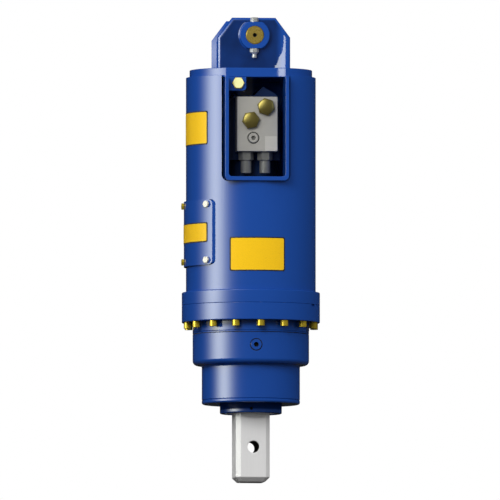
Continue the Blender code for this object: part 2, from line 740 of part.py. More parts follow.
def panel_screw_holes(name):
    """One cutter with the holes of all access panel screws."""
    depth = PANEL_THICKNESS + TUBE_WALL + PANEL_SCREW_TAIL
    hole = rod(name + "_one", PANEL_SCREW_SHANK / 2 + SEAT_GAP, -2 * depth, depth, SHANK_STEPS)
    holes = [copy_guide(hole, name + "_copy", frame) for frame in panel_screw_frames()]
    bpy.data.objects.remove(hole)
    return joined_guide(name, holes)


def build_tube():
    """The hood tube, open under the access panel and in front for the hoses."""
    tube = turned("hood_tube", [
        (TUBE_BORE, TUBE_TOP), (TUBE_RADIUS, TUBE_TOP), (TUBE_RADIUS, TUBE_BOTTOM), (TUBE_BORE, TUBE_BOTTOM)],
        True)
    half = WINDOW_HALF_WIDTH + WINDOW_SIDE_GAP
    window = prism("window_cut", [rounded_rectangle(
        -half, half, WINDOW_BOTTOM - SEAT_GAP, TUBE_TOP + TUBE_WALL + WINDOW_CORNER,
        WINDOW_CORNER + WINDOW_SIDE_GAP)], TUBE_BORE / 3, 2 * TUBE_RADIUS, FACING_Y)
    cut(tube, window)
    margin = PANEL_OPENING_MARGIN
    opening = prism("panel_opening", [rounded_rectangle(
        -PANEL_HALF_WIDTH + margin, PANEL_HALF_WIDTH - margin,
        PANEL_MIDDLE - PANEL_HEIGHT / 2 + margin, PANEL_MIDDLE + PANEL_HEIGHT / 2 - margin,
        PANEL_CORNER)], -2 * TUBE_RADIUS, -TUBE_RADIUS / 3, FACING_X)
    cut(tube, opening)
    cut(tube, panel_screw_holes("tube_screw_holes"))
    place_piece(tube, BLUE_PAINT)


def build_access_panel():
    """The curved cover on the left side of the tube, with its six screws."""
    half_height = PANEL_HEIGHT / 2
    panel = turned("access_panel", [
        (PANEL_INNER, PANEL_MIDDLE + PANEL_HEIGHT), (PANEL_OUTER, PANEL_MIDDLE + PANEL_HEIGHT),
        (PANEL_OUTER, PANEL_MIDDLE - PANEL_HEIGHT), (PANEL_INNER, PANEL_MIDDLE - PANEL_HEIGHT)], True)
    outline = prism("panel_outline", [rounded_rectangle(
        -PANEL_HALF_WIDTH, PANEL_HALF_WIDTH, PANEL_MIDDLE - half_height, PANEL_MIDDLE + half_height,
        PANEL_CORNER)], -2 * TUBE_RADIUS, -TUBE_RADIUS / 3, FACING_X)
    combine(panel, outline, "INTERSECT")
    cut(panel, panel_screw_holes("panel_screw_holes"))
    place_piece(panel, BLUE_PAINT)

    pattern = screw_mesh("panel_screw", hexagon(PANEL_SCREW_ACROSS), PANEL_SCREW_HEAD,
                         PANEL_SCREW_SHANK, PANEL_THICKNESS + TUBE_WALL + PANEL_SCREW_TAIL)
    lift = Matrix.Translation((0, 0, SEAT_GAP))
    for number, frame in enumerate(panel_screw_frames(), start=1):
        screw = copy_guide(pattern, "panel_screw_%d" % number, frame @ lift)
        place_piece(screw, ZINC_YELLOW)
    bpy.data.objects.remove(pattern)


def build_window_frame():
    """The U-shaped frame round the hose window, with the lug in its top left corner."""
    outer = WINDOW_HALF_WIDTH
    inner = outer - WINDOW_WALL
    sill = WINDOW_BOTTOM + WINDOW_SILL
    inner_corner = WINDOW_CORNER - WINDOW_WALL / 2
    outline = [(-inner, WINDOW_TOP), (-outer, WINDOW_TOP)]
    outline += arc((-outer + WINDOW_CORNER, WINDOW_BOTTOM + WINDOW_CORNER), WINDOW_CORNER, 180, 270, 4)
    outline += arc((outer - WINDOW_CORNER, WINDOW_BOTTOM + WINDOW_CORNER), WINDOW_CORNER, 270, 360, 4)
    outline += [(outer, WINDOW_TOP), (inner, WINDOW_TOP)]
    outline += arc((inner - inner_corner, sill + inner_corner), inner_corner, 0, -90, 3)
    outline += arc((-inner + inner_corner, sill + inner_corner), inner_corner, -90, -180, 3)
    frame = prism("window_frame", [outline], WINDOW_LIP - WINDOW_DEPTH, WINDOW_LIP, FACING_Y)
    left = -inner - WINDOW_WALL / 2
    right = -inner + LUG_LEFT
    low = WINDOW_TOP - LUG_DROP
    lug_outline = [(left, WINDOW_TOP), (left, low)]
    lug_outline += arc((right - LUG_CORNER, low + LUG_CORNER), LUG_CORNER, -90, 0, 4)
    lug_outline.append((right, WINDOW_TOP))
    lug = prism("frame_lug", [lug_outline], LUG_FRONT - LUG_THICKNESS, LUG_FRONT, FACING_Y)
    add(frame, lug)
    bolt_height = WINDOW_TOP - LUG_BOLT_DROP
    hole = rod("lug_hole", LUG_BOLT_SHANK / 2 + SEAT_GAP, LUG_FRONT - 2 * LUG_THICKNESS,
               LUG_FRONT + LUG_THICKNESS, SHANK_STEPS)
    upright = Matrix.Translation((LUG_BOLT_X, 0, bolt_height)) @ Matrix.Rotation(math.radians(90), 4, "X")
    cut(frame, moved(hole, upright))
    place_piece(frame, BLUE_PAINT)
    bolt = screw_mesh("lug_bolt", hexagon(LUG_BOLT_ACROSS), LUG_BOLT_HEAD, LUG_BOLT_SHANK,
                      LUG_THICKNESS + LUG_BOLT_TAIL)
    moved(bolt, around(0, 0, bolt_height, LUG_FRONT + SEAT_GAP))
    moved(bolt, Matrix.Translation((LUG_BOLT_X, 0, 0)))
    place_piece(bolt, ZINC_YELLOW)


def flange_screw_angles():
    """Return the azimuth of each flange screw."""
    return [FLANGE_SCREW_START + 360 * index / FLANGE_SCREW_COUNT for index in range(FLANGE_SCREW_COUNT)]


def flange_holes(name, low, high):
    """One cutter with the holes of all flange screws."""
    hole = rod(name + "_one", FLANGE_SCREW_SHANK / 2 + SEAT_GAP, low, high, SHANK_STEPS)
    holes = []
    for azimuth in flange_screw_angles():
        turn = Matrix.Rotation(math.radians(azimuth), 4, "Z")
        shift = Matrix.Translation((0, -FLANGE_SCREW_RADIUS, 0))
        holes.append(copy_guide(hole, name + "_copy", turn @ shift))
    bpy.data.objects.remove(hole)
    return joined_guide(name, holes)


def build_hood_flange():
    """The flange ring that closes the hood's foot and takes the screws."""
    soft = FLANGE_EDGE_ROUND
    flange = turned("hood_flange", [
        (TUBE_BORE, HOOD_FLANGE_TOP), (FLANGE_RADIUS - soft, HOOD_FLANGE_TOP),
        (FLANGE_RADIUS, HOOD_FLANGE_TOP - soft), (FLANGE_RADIUS, HOOD_FLANGE_BOTTOM + soft / 2),
        (FLANGE_RADIUS - soft / 2, HOOD_FLANGE_BOTTOM), (TUBE_BORE, HOOD_FLANGE_BOTTOM)], True)
    cut(flange, flange_holes("hood_flange_holes", HOOD_FLANGE_BOTTOM - soft, FLANGE_SCREW_TIP + SEAT_GAP))
    place_piece(flange, BLUE_PAINT)


def build_casing():
    """The gearbox casing with its flange and the ring gear's teeth."""
    soft = FLANGE_EDGE_ROUND
    lead = RING_TIP - MODULE / 2
    casing = turned("gearbox_casing", [
        (RING_ROOT, SPIGOT_TOP), (SPIGOT_RADIUS, SPIGOT_TOP), (SPIGOT_RADIUS, CASING_TOP),
        (FLANGE_RADIUS - soft / 2, CASING_TOP), (FLANGE_RADIUS, CASING_TOP - soft / 2),
        (FLANGE_RADIUS, CASING_FLANGE_BOTTOM + soft), (FLANGE_RADIUS - soft, CASING_FLANGE_BOTTOM),
        (CASING_RADIUS, CASING_FLANGE_BOTTOM), (CASING_RADIUS, CASING_BOTTOM),
        (CARRIER_ROOM_RADIUS, CASING_BOTTOM),
        (CARRIER_ROOM_RADIUS, RING_BOTTOM), (lead, RING_BOTTOM), (lead, FAST_GEAR_TOP + RUNNING_GAP),
        (RING_ROOT + RUNNING_GAP, FAST_GEAR_TOP + RUNNING_GAP)], True)
    spaces = gear_outline(RING_TEETH, [RING_TIP, RING_ROOT], -BACKLASH / 2 - RING_FLANK_RELIEF, 0)
    broach = prism("ring_teeth_cut", [spaces], RING_BOTTOM - MODULE, SPIGOT_TOP - MODULE / 4)
    cut(casing, broach)
    cut(casing, flange_holes("casing_holes", CASING_FLANGE_BOTTOM - soft, CASING_TOP + soft))
    slot = prism("pry_slot_cut", [rectangle(
        -PRY_SLOT_LENGTH / 2, PRY_SLOT_LENGTH / 2, -PRY_SLOT_HEIGHT, PRY_SLOT_HEIGHT)],
        -PRY_SLOT_DEPTH, PRY_SLOT_DEPTH)
    cut(casing, moved(slot, around(PRY_SLOT_AZIMUTH, FLANGE_RADIUS, CASING_TOP)))
    place_piece(casing, BLUE_PAINT)


def build_flange_screws():
    """The socket head screws under the flange."""
    pattern = screw_mesh("flange_screw", circle(FLANGE_SCREW_HEAD / 2, FASTENER_STEPS), FLANGE_SCREW_HEIGHT,
                         FLANGE_SCREW_SHANK, FLANGE_SCREW_LENGTH)
    upside_down = Matrix.Rotation(math.radians(180), 4, "X")
    for number, azimuth in enumerate(flange_screw_angles(), start=1):
        turn = Matrix.Rotation(math.radians(azimuth), 4, "Z")
        seat = Matrix.Translation((0, -FLANGE_SCREW_RADIUS, CASING_FLANGE_BOTTOM - SEAT_GAP))
        screw = copy_guide(pattern, "flange_screw_%02d" % number, turn @ seat @ upside_down)
        place_piece(screw, ZINC_YELLOW)
    bpy.data.objects.remove(pattern)


def build_bearing_housing():
    """The lower housing: bearing seats inside, the nose outside, and its fill plug."""
    outer = CASING_RADIUS
    nose = NOSE_RADIUS
    round_corner = arc((outer - HOUSING_CORNER, SHOULDER + HOUSING_CORNER), HOUSING_CORNER, 0, -90, 3)
    fillet = arc((nose + NOSE_FILLET, SHOULDER - NOSE_FILLET), NOSE_FILLET, 90, 180, 2)
    lip = CUP_SEAT - BEARING_SHOULDER
    profile = [(CARRIER_ROOM_RADIUS, HOUSING_TOP), (outer, HOUSING_TOP)]
    profile += round_corner + fillet
    profile += [
        (nose, HOUSING_BOTTOM), (SEAL_SEAT, HOUSING_BOTTOM), (SEAL_SEAT, SEAL_TOP + SEAT_GAP),
        (CUP_SEAT, LOWER_BEARING_BOTTOM - SEAT_GAP), (CUP_SEAT, LOWER_BEARING_TOP + SEAT_GAP),
        (lip, LOWER_BEARING_TOP + SEAT_GAP), (lip, UPPER_BEARING_BOTTOM - SEAT_GAP),
        (CUP_SEAT, UPPER_BEARING_BOTTOM - SEAT_GAP), (CUP_SEAT, CARRIER_BOTTOM - RUNNING_GAP),
        (CARRIER_ROOM_RADIUS, CARRIER_BOTTOM - RUNNING_GAP)]
    housing = turned("bearing_housing", profile, True)
    height = HOUSING_TOP - FILL_PLUG_BELOW_SEAM
    seat = around(0, outer, height)
    bore = rod("fill_plug_bore", FILL_PLUG_DIAMETER / 2 + SEAT_GAP, -FILL_PLUG_DEPTH - SEAT_GAP, outer,
               SMALL_STEPS)
    cut(housing, moved(bore, seat))
    place_piece(housing, BLUE_PAINT)

    plug = rod("fill_plug", FILL_PLUG_DIAMETER / 2, -FILL_PLUG_DEPTH, 0, SMALL_STEPS)
    recess = prism("fill_plug_socket", [hexagon(FILL_PLUG_SOCKET)], -FILL_PLUG_DEPTH / 2, FILL_PLUG_DEPTH)
    cut(plug, recess)
    plug = applied(plug)
    moved(plug, seat)
    place_piece(plug, BLUE_PAINT)


def build_seal_cover():
    """The ring that holds the seal at the nose's foot."""
    outer = NOSE_RADIUS
    soft = COVER_EDGE_ROUND
    profile = [(COLLAR_CLEAR, COVER_TOP), (outer, COVER_TOP)]
    profile += arc((outer - soft, COVER_BOTTOM + soft), soft, 0, -90, 2)
    profile.append((COLLAR_CLEAR, COVER_BOTTOM))
    place_piece(turned("seal_cover", profile, True), BLUE_PAINT)
    seal = turned("seal_ring", [
        (CONE_BORE, SEAL_TOP), (SEAL_RADIUS, SEAL_TOP), (SEAL_RADIUS, SEAL_BOTTOM), (CONE_BORE, SEAL_BOTTOM)],
        True)
    place_piece(seal, SEAL_RUBBER)


def build_bearing(prefix, bottom, narrow_up):
    """One taper roller bearing: the cup in the housing and the cone on the shaft."""
    top = bottom + BEARING_WIDTH
    middle = CONE_BORE + BEARING_SECTION / 2
    taper = BEARING_TAPER if narrow_up else -BEARING_TAPER
    cup_low = middle + taper + SEAT_GAP
    cup_high = middle - taper + SEAT_GAP
    cup = turned(prefix + "_bearing_cup", [
        (cup_high, top), (CUP_RADIUS, top), (CUP_RADIUS, bottom), (cup_low, bottom)], True)
    place_piece(cup, GEAR_STEEL)
    cone = turned(prefix + "_bearing_cone", [
        (CONE_BORE, top), (middle - taper, top), (middle + taper, bottom), (CONE_BORE, bottom)], True)
    place_piece(cone, GEAR_STEEL)


def shaft_outline():
    """Return the square of the output shaft with its chamfered corners."""
    half = SHAFT_SQUARE / 2
    near = half - SHAFT_CORNER
    return [(near, -half), (half, -near), (half, near), (near, half),
            (-near, half), (-half, near), (-half, -near), (-near, -half)]


def planet_pins(name, low, high):
    """One guide with the planet pins of a carrier."""
    pin = rod(name + "_one", PLANET_PIN_RADIUS, low, high, FASTENER_STEPS)
    pins = [copy_guide(pin, name + "_copy", Matrix.Translation((*centre, 0)))
            for centre, direction in planet_places()]
    bpy.data.objects.remove(pin)
    return joined_guide(name, pins)


def build_output_shaft():
    """The square drive end, the bearing journal and the slow carrier, in one forging."""
    journal_end = COLLAR_BOTTOM + RUNNING_GAP * 2
    carrier = CARRIER_RADIUS
    shaft = turned("output_shaft", [
        (0, CARRIER_TOP), (carrier, CARRIER_TOP), (carrier, CARRIER_BOTTOM), (JOURNAL_RADIUS, CARRIER_BOTTOM),
        (JOURNAL_RADIUS, journal_end), (0, journal_end)], False)
    square = prism("shaft_square", [shaft_outline()], SHAFT_END, journal_end + SHAFT_SQUARE)

    def on_end(first, second):
        return max(first.z, second.z) < SHAFT_END + MERGE_DISTANCE

    bevel_edges(square, on_end, SHAFT_END_CHAMFER, 1)
    turn = Matrix.Rotation(math.radians(SHAFT_TURN), 4, "Z")
    add(shaft, moved(square, turn))
    add(shaft, planet_pins("slow_planet_pins", (CARRIER_BOTTOM + CARRIER_TOP) / 2, SLOW_GEAR_TOP))
    hole = rod("shaft_hole_cut", SHAFT_HOLE_DIAMETER / 2, -SHAFT_SQUARE, SHAFT_SQUARE, SMALL_STEPS)
    lean = Matrix.Rotation(math.radians(90), 4, "X")
    cut(shaft, moved(hole, turn @ Matrix.Translation((0, 0, SHAFT_END + SHAFT_HOLE_HEIGHT)) @ lean))
    place_piece(shaft, BRIGHT_STEEL)

    top = SEAL_BOTTOM - SEAT_GAP * 2
    soft = COLLAR_EDGE_ROUND
    profile = [(CONE_BORE, top), (COLLAR_RADIUS, top)]
    profile += arc((COLLAR_RADIUS - soft, COLLAR_BOTTOM + soft), soft, 0, -90, 2)
    profile.append((CONE_BORE, COLLAR_BOTTOM))
    collar = turned("dust_collar", profile, True)
    grub_hole = rod("collar_hole_cut", COLLAR_HOLE / 2, -COLLAR_RADIUS / 2, COLLAR_RADIUS)
    grub_seat = around(COLLAR_HOLE_AZIMUTH, COLLAR_RADIUS, COLLAR_BOTTOM + COLLAR_HOLE_RISE)
    cut(collar, moved(grub_hole, grub_seat))
    place_piece(collar, BLUE_PAINT)


def build_planets(prefix, bottom, top):
    """The planets of one stage, each with a tooth that points to the ring gear."""
    radii = external_radii(PLANET_TEETH, PLANET_ROOT, PLANET_TIP)
    for number, (centre, direction) in enumerate(planet_places(), start=1):
        teeth = shifted(gear_outline(PLANET_TEETH, radii, BACKLASH / 2, direction), centre)
        bore = shifted(circle(PLANET_BORE, FASTENER_STEPS), centre)
        planet = prism("%s_planet_gear_%d" % (prefix, number), [teeth, bore], bottom, top)
        place_piece(planet, GEAR_STEEL)


def sun_outline():
    """Return the sun gear's outline, with a tooth that points to each planet."""
    radii = external_radii(SUN_TEETH, SUN_ROOT, SUN_TIP)
    return gear_outline(SUN_TEETH, radii, BACKLASH / 2, 0)


def build_gear_train():
    """The planets, the fast carrier with the slow sun, and the input pinion."""
    build_planets("slow", SLOW_GEAR_BOTTOM, SLOW_GEAR_TOP)
    build_planets("fast", FAST_GEAR_BOTTOM, FAST_GEAR_TOP)
    carrier = rod("fast_carrier", FAST_CARRIER_RADIUS, FAST_CARRIER_BOTTOM, FAST_CARRIER_TOP, SMALL_STEPS)
    middle = (FAST_CARRIER_BOTTOM + FAST_CARRIER_TOP) / 2
    add(carrier, prism("slow_sun", [sun_outline()], SLOW_GEAR_BOTTOM + RUNNING_GAP, middle))
    add(carrier, planet_pins("fast_planet_pins", middle, FAST_GEAR_TOP))
    place_piece(carrier, GEAR_STEEL)
    pinion = prism("input_pinion", [sun_outline()], FAST_CARRIER_TOP + RUNNING_GAP, FAST_GEAR_TOP)
    shaft = rod("input_shaft", INPUT_SHAFT_DIAMETER / 2, FAST_GEAR_BOTTOM + FAST_GEAR_WIDTH / 2,
                MOTOR_BOTTOM + INPUT_SHAFT_IN_MOTOR)
    add(pinion, shaft)
    place_piece(pinion, GEAR_STEEL)


def build_motor():
    """The adapter plate and the hydraulic motor with its square head."""
    adapter = turned("motor_adapter", [
        (ADAPTER_BORE / 2, ADAPTER_TOP), (SPIGOT_RADIUS, ADAPTER_TOP), (SPIGOT_RADIUS, ADAPTER_BOTTOM),
        (ADAPTER_BORE / 2, ADAPTER_BOTTOM)], True)
    place_piece(adapter, DARK_STEEL)

    body = MOTOR_DIAMETER / 2
    flange = MOTOR_FLANGE_DIAMETER / 2
    head_bottom = MOTOR_PEAK - MOTOR_HEAD_HEIGHT
    shaft_room = INPUT_SHAFT_DIAMETER / 2 + RUNNING_GAP / 2
    shaft_end = MOTOR_BOTTOM + INPUT_SHAFT_IN_MOTOR + RUNNING_GAP
    pilot = ADAPTER_BORE / 2 - SEAT_GAP
    pilot_bottom = ADAPTER_BOTTOM + ADAPTER_THICKNESS / 2
    motor = turned("motor_body", [
        (0, head_bottom + MOTOR_BODY_IN_HEAD), (body, head_bottom + MOTOR_BODY_IN_HEAD),
        (body, MOTOR_FLANGE_TOP), (flange, MOTOR_FLANGE_TOP), (flange, MOTOR_BOTTOM), (pilot, MOTOR_BOTTOM),
        (pilot, pilot_bottom), (shaft_room, pilot_bottom), (shaft_room, shaft_end), (0, shaft_end)], False,
        SMALL_STEPS)
    half = MOTOR_HEAD_HALF_WIDTH
    drop = MOTOR_SHOULDER
    step = MOTOR_PEAK - MOTOR_STEP
    outline = [
        (-half, head_bottom), (half, head_bottom), (half, MOTOR_PEAK - 2 * drop),
        (half - drop / 2, MOTOR_PEAK - drop), (MOTOR_PEAK_X, MOTOR_PEAK),
        (MOTOR_PEAK_X - MOTOR_STEP, step), (-half + drop, step), (-half, MOTOR_PEAK - 2 * drop)]
    head = prism("motor_head", [outline], -MOTOR_HEAD_BACK, MOTOR_HEAD_FRONT, FACING_Y)
    add(motor, head)
    place_piece(motor, MOTOR_BLUE)


def build_valve_block():
    """The valve block on the motor's head, with its plugs and relief valves."""
    block = prism("valve_block", [rounded_rectangle(
        -BLOCK_LEFT, BLOCK_RIGHT, BLOCK_BOTTOM, BLOCK_TOP, BLOCK_EDGE, 1)],
        -BLOCK_BACK, -BLOCK_FACE, FACING_Y)
    fronts = (
        ("port_plug_a", PORT_A_X, PORT_A_DOWN, PORT_PLUG_STUB_DIAMETER),
        ("port_plug_b", PORT_B_X, PORT_B_DOWN, PORT_PLUG_STUB_DIAMETER),
        ("gauge_plug", GAUGE_X, GAUGE_DOWN, GAUGE_STUB_DIAMETER))
    plug = screw_mesh("port_plug", hexagon(PORT_PLUG_ACROSS), PORT_PLUG_HEAD, PORT_PLUG_STUB_DIAMETER,
                      PORT_PLUG_STUB)
    gauge = screw_mesh("gauge", circle(GAUGE_DIAMETER / 2, SMALL_STEPS), GAUGE_HEAD, GAUGE_STUB_DIAMETER,
                       PORT_PLUG_STUB, (GAUGE_SOCKET, GAUGE_SOCKET_DEPTH))
    for name, across, down, stub in fronts:
        seat = Matrix.Translation((across, 0, 0)) @ around(0, -BLOCK_FACE, BLOCK_TOP - down)
        hole = rod(name + "_hole", stub / 2 + SEAT_GAP, -PORT_PLUG_STUB - SEAT_GAP, PORT_PLUG_STUB,
                   SHANK_STEPS)
        cut(block, moved(hole, seat))
        pattern = gauge if name == "gauge_plug" else plug
        piece = copy_guide(pattern, name, seat @ Matrix.Translation((0, 0, SEAT_GAP)))
        place_piece(piece, CAST_ALUMINIUM if name == "gauge_plug" else PLUG_OLIVE)
    bpy.data.objects.remove(plug)
    bpy.data.objects.remove(gauge)

    relief = screw_mesh("relief", hexagon(RELIEF_ACROSS), RELIEF_HEX_HEIGHT, RELIEF_STUB_DIAMETER,
                        RELIEF_STUB)
    length = RELIEF_HEX_HEIGHT + RELIEF_TUBE_LENGTH
    radius = RELIEF_DIAMETER / 2
    soft = RELIEF_TUBE_CHAMFER
    tube = turned("relief_tube", [
        (0, length), (radius - soft, length), (radius, length - soft), (radius, RELIEF_HEX_HEIGHT / 2),
        (0, RELIEF_HEX_HEIGHT / 2)], False, FASTENER_STEPS)
    relief = applied(add(relief, tube))
    middle = (BLOCK_BACK + BLOCK_FACE) / 2
    upside_down = Matrix.Rotation(math.radians(180), 4, "Y")
    for name, across in (("relief_valve_a", RELIEF_A_X), ("relief_valve_b", RELIEF_B_X)):
        seat = Matrix.Translation((across, middle, BLOCK_BOTTOM)) @ upside_down
        hole = rod(name + "_hole", RELIEF_STUB_DIAMETER / 2 + SEAT_GAP, -RELIEF_STUB - SEAT_GAP, RELIEF_STUB,
                   SHANK_STEPS)
        cut(block, moved(hole, seat))
        piece = copy_guide(relief, name, seat @ Matrix.Translation((0, 0, SEAT_GAP)))
        place_piece(piece, DARK_STEEL)
    bpy.data.objects.remove(relief)
    place_piece(block, CAST_ALUMINIUM)


build_top_plate()
build_hitch()
build_tube()
build_access_panel()
build_window_frame()
build_hood_flange()
build_casing()
build_flange_screws()
build_bearing_housing()
build_seal_cover()
build_bearing("lower", LOWER_BEARING_BOTTOM, False)
build_bearing("upper", UPPER_BEARING_BOTTOM, True)
build_output_shaft()
build_gear_train()
build_motor()
build_valve_block()
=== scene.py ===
"""The looks of the hanging earth auger drive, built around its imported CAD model."""

import math

import bmesh
import bpy
from mathutils import Matrix, Vector

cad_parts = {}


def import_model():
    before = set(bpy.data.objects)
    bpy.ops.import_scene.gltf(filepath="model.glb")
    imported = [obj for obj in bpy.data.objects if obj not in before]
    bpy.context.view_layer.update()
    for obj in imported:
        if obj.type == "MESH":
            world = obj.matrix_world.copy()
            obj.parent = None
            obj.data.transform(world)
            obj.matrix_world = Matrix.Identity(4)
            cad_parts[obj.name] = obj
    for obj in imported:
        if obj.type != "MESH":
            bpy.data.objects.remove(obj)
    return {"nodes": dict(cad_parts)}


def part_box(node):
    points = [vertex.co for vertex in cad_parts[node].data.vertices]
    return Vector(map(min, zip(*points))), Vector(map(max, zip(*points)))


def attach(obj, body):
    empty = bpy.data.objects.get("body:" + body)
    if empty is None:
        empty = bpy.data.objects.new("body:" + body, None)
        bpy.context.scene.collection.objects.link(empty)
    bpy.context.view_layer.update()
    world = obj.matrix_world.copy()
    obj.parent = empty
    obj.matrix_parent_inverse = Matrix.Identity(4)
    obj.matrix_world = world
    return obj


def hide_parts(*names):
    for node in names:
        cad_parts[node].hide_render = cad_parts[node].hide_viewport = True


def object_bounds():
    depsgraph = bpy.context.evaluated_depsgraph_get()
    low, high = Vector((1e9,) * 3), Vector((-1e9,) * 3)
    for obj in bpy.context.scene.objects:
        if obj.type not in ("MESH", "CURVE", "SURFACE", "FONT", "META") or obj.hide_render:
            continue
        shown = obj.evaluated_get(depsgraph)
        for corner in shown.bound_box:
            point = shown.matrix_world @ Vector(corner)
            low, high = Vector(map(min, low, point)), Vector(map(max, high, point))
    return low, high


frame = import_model()
CAD_LOW, CAD_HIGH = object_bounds()

# How finely round pieces are turned
TURNED_STEPS = 168
BORE_STEPS = 96
HOLE_STEPS = 72
SMALL_STEPS = 48
FASTENER_STEPS = 36

# Small measures that many pieces share
WELDED = 1e-6
SUNK = 0.0005
CUT_REACH = 0.05
FIT_GAP = 0.0003
EDGE_BREAK = 0.0008
RIM_BREAK = 0.0012

# Sizes of the hitch that the CAD model's boxes don't give
EAR_INSIDE = 0.056
EAR_FACE = 0.076
EAR_EDGE_ROUND = 0.0085
EAR_CORNER_ACROSS = 0.032
EAR_CORNER_DOWN = 0.043
EAR_CROWN_RISE = 0.0015
REAR_EAR_CHAMFER = 0.010
BOSS_RADIUS = 0.032
BOSS_FLAT = 0.0287
BOSS_WELD = 0.0042
PIN_BORE = 0.0203

# Sizes of the hood, its window and its panel
TUBE_WALL = 0.0075
PLATE_FACET = 0.1160
WINDOW_GAP = 0.004
WINDOW_HALF = 0.070
WINDOW_PROUD = 0.010
WINDOW_CORNER = 0.011
WINDOW_WALL = 0.008
WINDOW_SILL = 0.009
LUG_SETBACK = 0.022
LUG_THICK = 0.010
LUG_WIDTH = 0.041
LUG_DROP = 0.030
PANEL_CORNER = 0.009
PANEL_LAP = 0.026
SIDE_AZIMUTH = -90
SIDE_SCREWS = -80

# Sizes of the gearbox and the shaft
FLANGE_ROUND = 0.002
RING_TIP = 0.0916
RING_ROOT = 0.0993
RING_TEETH = 42
GEAR_ROOM = 0.1037
PRY_SLOT_AZIMUTH = 59.0
HOUSING_CORNER = 0.010
NOSE_DROP = 0.071
NOSE_FILLET = 0.005
CUP_SEAT = 0.0896
SEAL_SEAT = 0.0696
COVER_ROUND = 0.004
COLLAR_BORE = 0.0553
COLLAR_ROUND = 0.003
COLLAR_HOLE_AZIMUTH = -4.5
JOURNAL_RADIUS = 0.055
CARRIER_RADIUS = 0.0957
SHAFT_SQUARE = 0.075
SHAFT_CORNER = 0.0098
SHAFT_END_CHAMFER = 0.010
SHAFT_TURN = 3.2
SHAFT_HOLE_RADIUS = 0.013
SHAFT_HOLE_RISE = 0.0757

# The blank marker patches: name, what they lie on, half width, foot, top and azimuth
MARKER_BORDER = 0.0026
MARKERS = (
    ("front_marker", "hood_tube", 0.0605, -0.5162, -0.4420, 0.9),
    ("side_marker", "hood_tube", 0.0596, -0.2388, -0.1654, -72.0),
    ("panel_marker", "access_panel", 0.0717, -0.4518, -0.4083, -75.0))


def radius_of(node):
    """Return the outer radius of a round CAD node that stands on the drive's axis."""
    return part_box(node)[1].x


def span_of(node):
    """Return the lowest and highest level of a CAD node."""
    low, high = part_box(node)
    return low.z, high.z


def middle_of(node):
    """Return the middle of a CAD node's box."""
    low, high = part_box(node)
    return (low + high) / 2


TUBE_RADIUS = radius_of("hood_tube")
TUBE_BORE = TUBE_RADIUS - TUBE_WALL
TUBE_LOW, TUBE_HIGH = span_of("hood_tube")
FLANGE_RADIUS = radius_of("hood_flange")
FLANGE_LOW, FLANGE_HIGH = span_of("hood_flange")
CASING_LOW, CASING_HIGH = span_of("gearbox_casing")
CASING_SEAT = FLANGE_LOW - FIT_GAP
SCREW_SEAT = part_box("flange_screw_01")[0].z + 0.013
HOUSING_RADIUS = radius_of("bearing_housing")
HOUSING_LOW, HOUSING_HIGH = span_of("bearing_housing")
COVER_LOW, COVER_HIGH = span_of("seal_cover")
NOSE_RADIUS = radius_of("seal_cover")
COLLAR_LOW, COLLAR_HIGH = span_of("dust_collar")
COLLAR_RADIUS = radius_of("dust_collar")
SHAFT_END, SHAFT_TOP = span_of("output_shaft")
PLATE_LOW, PLATE_HIGH = span_of("top_plate")

UPRIGHT = Matrix.Identity(4)
TO_FRONT = Matrix.Rotation(math.radians(90), 4, "X")
TO_BACK = Matrix.Rotation(math.radians(-90), 4, "X")
DOWNWARDS = Matrix.Rotation(math.pi, 4, "X")


# Workshop helpers


def clear_bench():
    """Leave edit mode and select nothing, so that the next operator acts on its own piece."""
    if bpy.context.mode != "OBJECT":
        bpy.ops.object.mode_set(mode="OBJECT")
    bpy.ops.object.select_all(action="DESELECT")


def take(piece):
    """Select one piece alone and make it active."""
    clear_bench()
    piece.select_set(True)
    bpy.context.view_layer.objects.active = piece
    return piece


def named(name):
    """Name the piece that was just added."""
    piece = bpy.context.object
    piece.name = name
    piece.data.name = name
    return piece


def settle(piece, place=UPRIGHT):
    """Move a piece to its place and leave that place in its mesh."""
    take(piece)
    piece.matrix_world = place @ piece.matrix_world
    bpy.ops.object.transform_apply(location=True, rotation=True, scale=True)
    return piece


def open_up(piece):
    """Take a piece into edit mode with all of it selected."""
    take(piece)
    bpy.ops.object.mode_set(mode="EDIT")
    bpy.ops.mesh.select_mode(type="VERT")
    bpy.ops.mesh.select_all(action="SELECT")


def close_up(piece):
    """Leave edit mode and hand the piece back."""
    bpy.ops.object.mode_set(mode="OBJECT")
    return piece


def choose(piece, kind, test):
    """In edit mode, select only the verts, edges or faces that pass a test."""
    bpy.ops.mesh.select_mode(type={"verts": "VERT", "edges": "EDGE", "faces": "FACE"}[kind])
    bpy.ops.mesh.select_all(action="DESELECT")
    shape = bmesh.from_edit_mesh(piece.data)
    for item in getattr(shape, kind):
        if test(item):
            item.select_set(True)
    bmesh.update_edit_mesh(piece.data)


def round_edges(piece, test, width, segments=4):
    """Bevel the edges that pass a test on their two ends."""
    open_up(piece)
    choose(piece, "edges", lambda edge: test(edge.verts[0].co, edge.verts[1].co))
    bpy.ops.mesh.bevel(offset=width, segments=segments, affect="EDGES")
    return close_up(piece)


def at_foot(level):
    """Return a test for the edges at a level that run from front to back."""
    return lambda a, b: max(a.z, b.z) < level + WELDED and abs(a.x - b.x) < WELDED


def slice_off(piece, point, outward):
    """Cut away what lies beyond a plane and close the cut."""
    open_up(piece)
    bpy.ops.mesh.bisect(plane_co=point, plane_no=outward, use_fill=True, clear_outer=True)
    return close_up(piece)


def worked_by(piece, kind, **settings):
    """Add a modifier to a piece and apply it."""
    take(piece)
    modifier = piece.modifiers.new(kind.lower(), kind)
    for name, value in settings.items():
        setattr(modifier, name, value)
    bpy.ops.object.modifier_apply(modifier=modifier.name)
    return piece


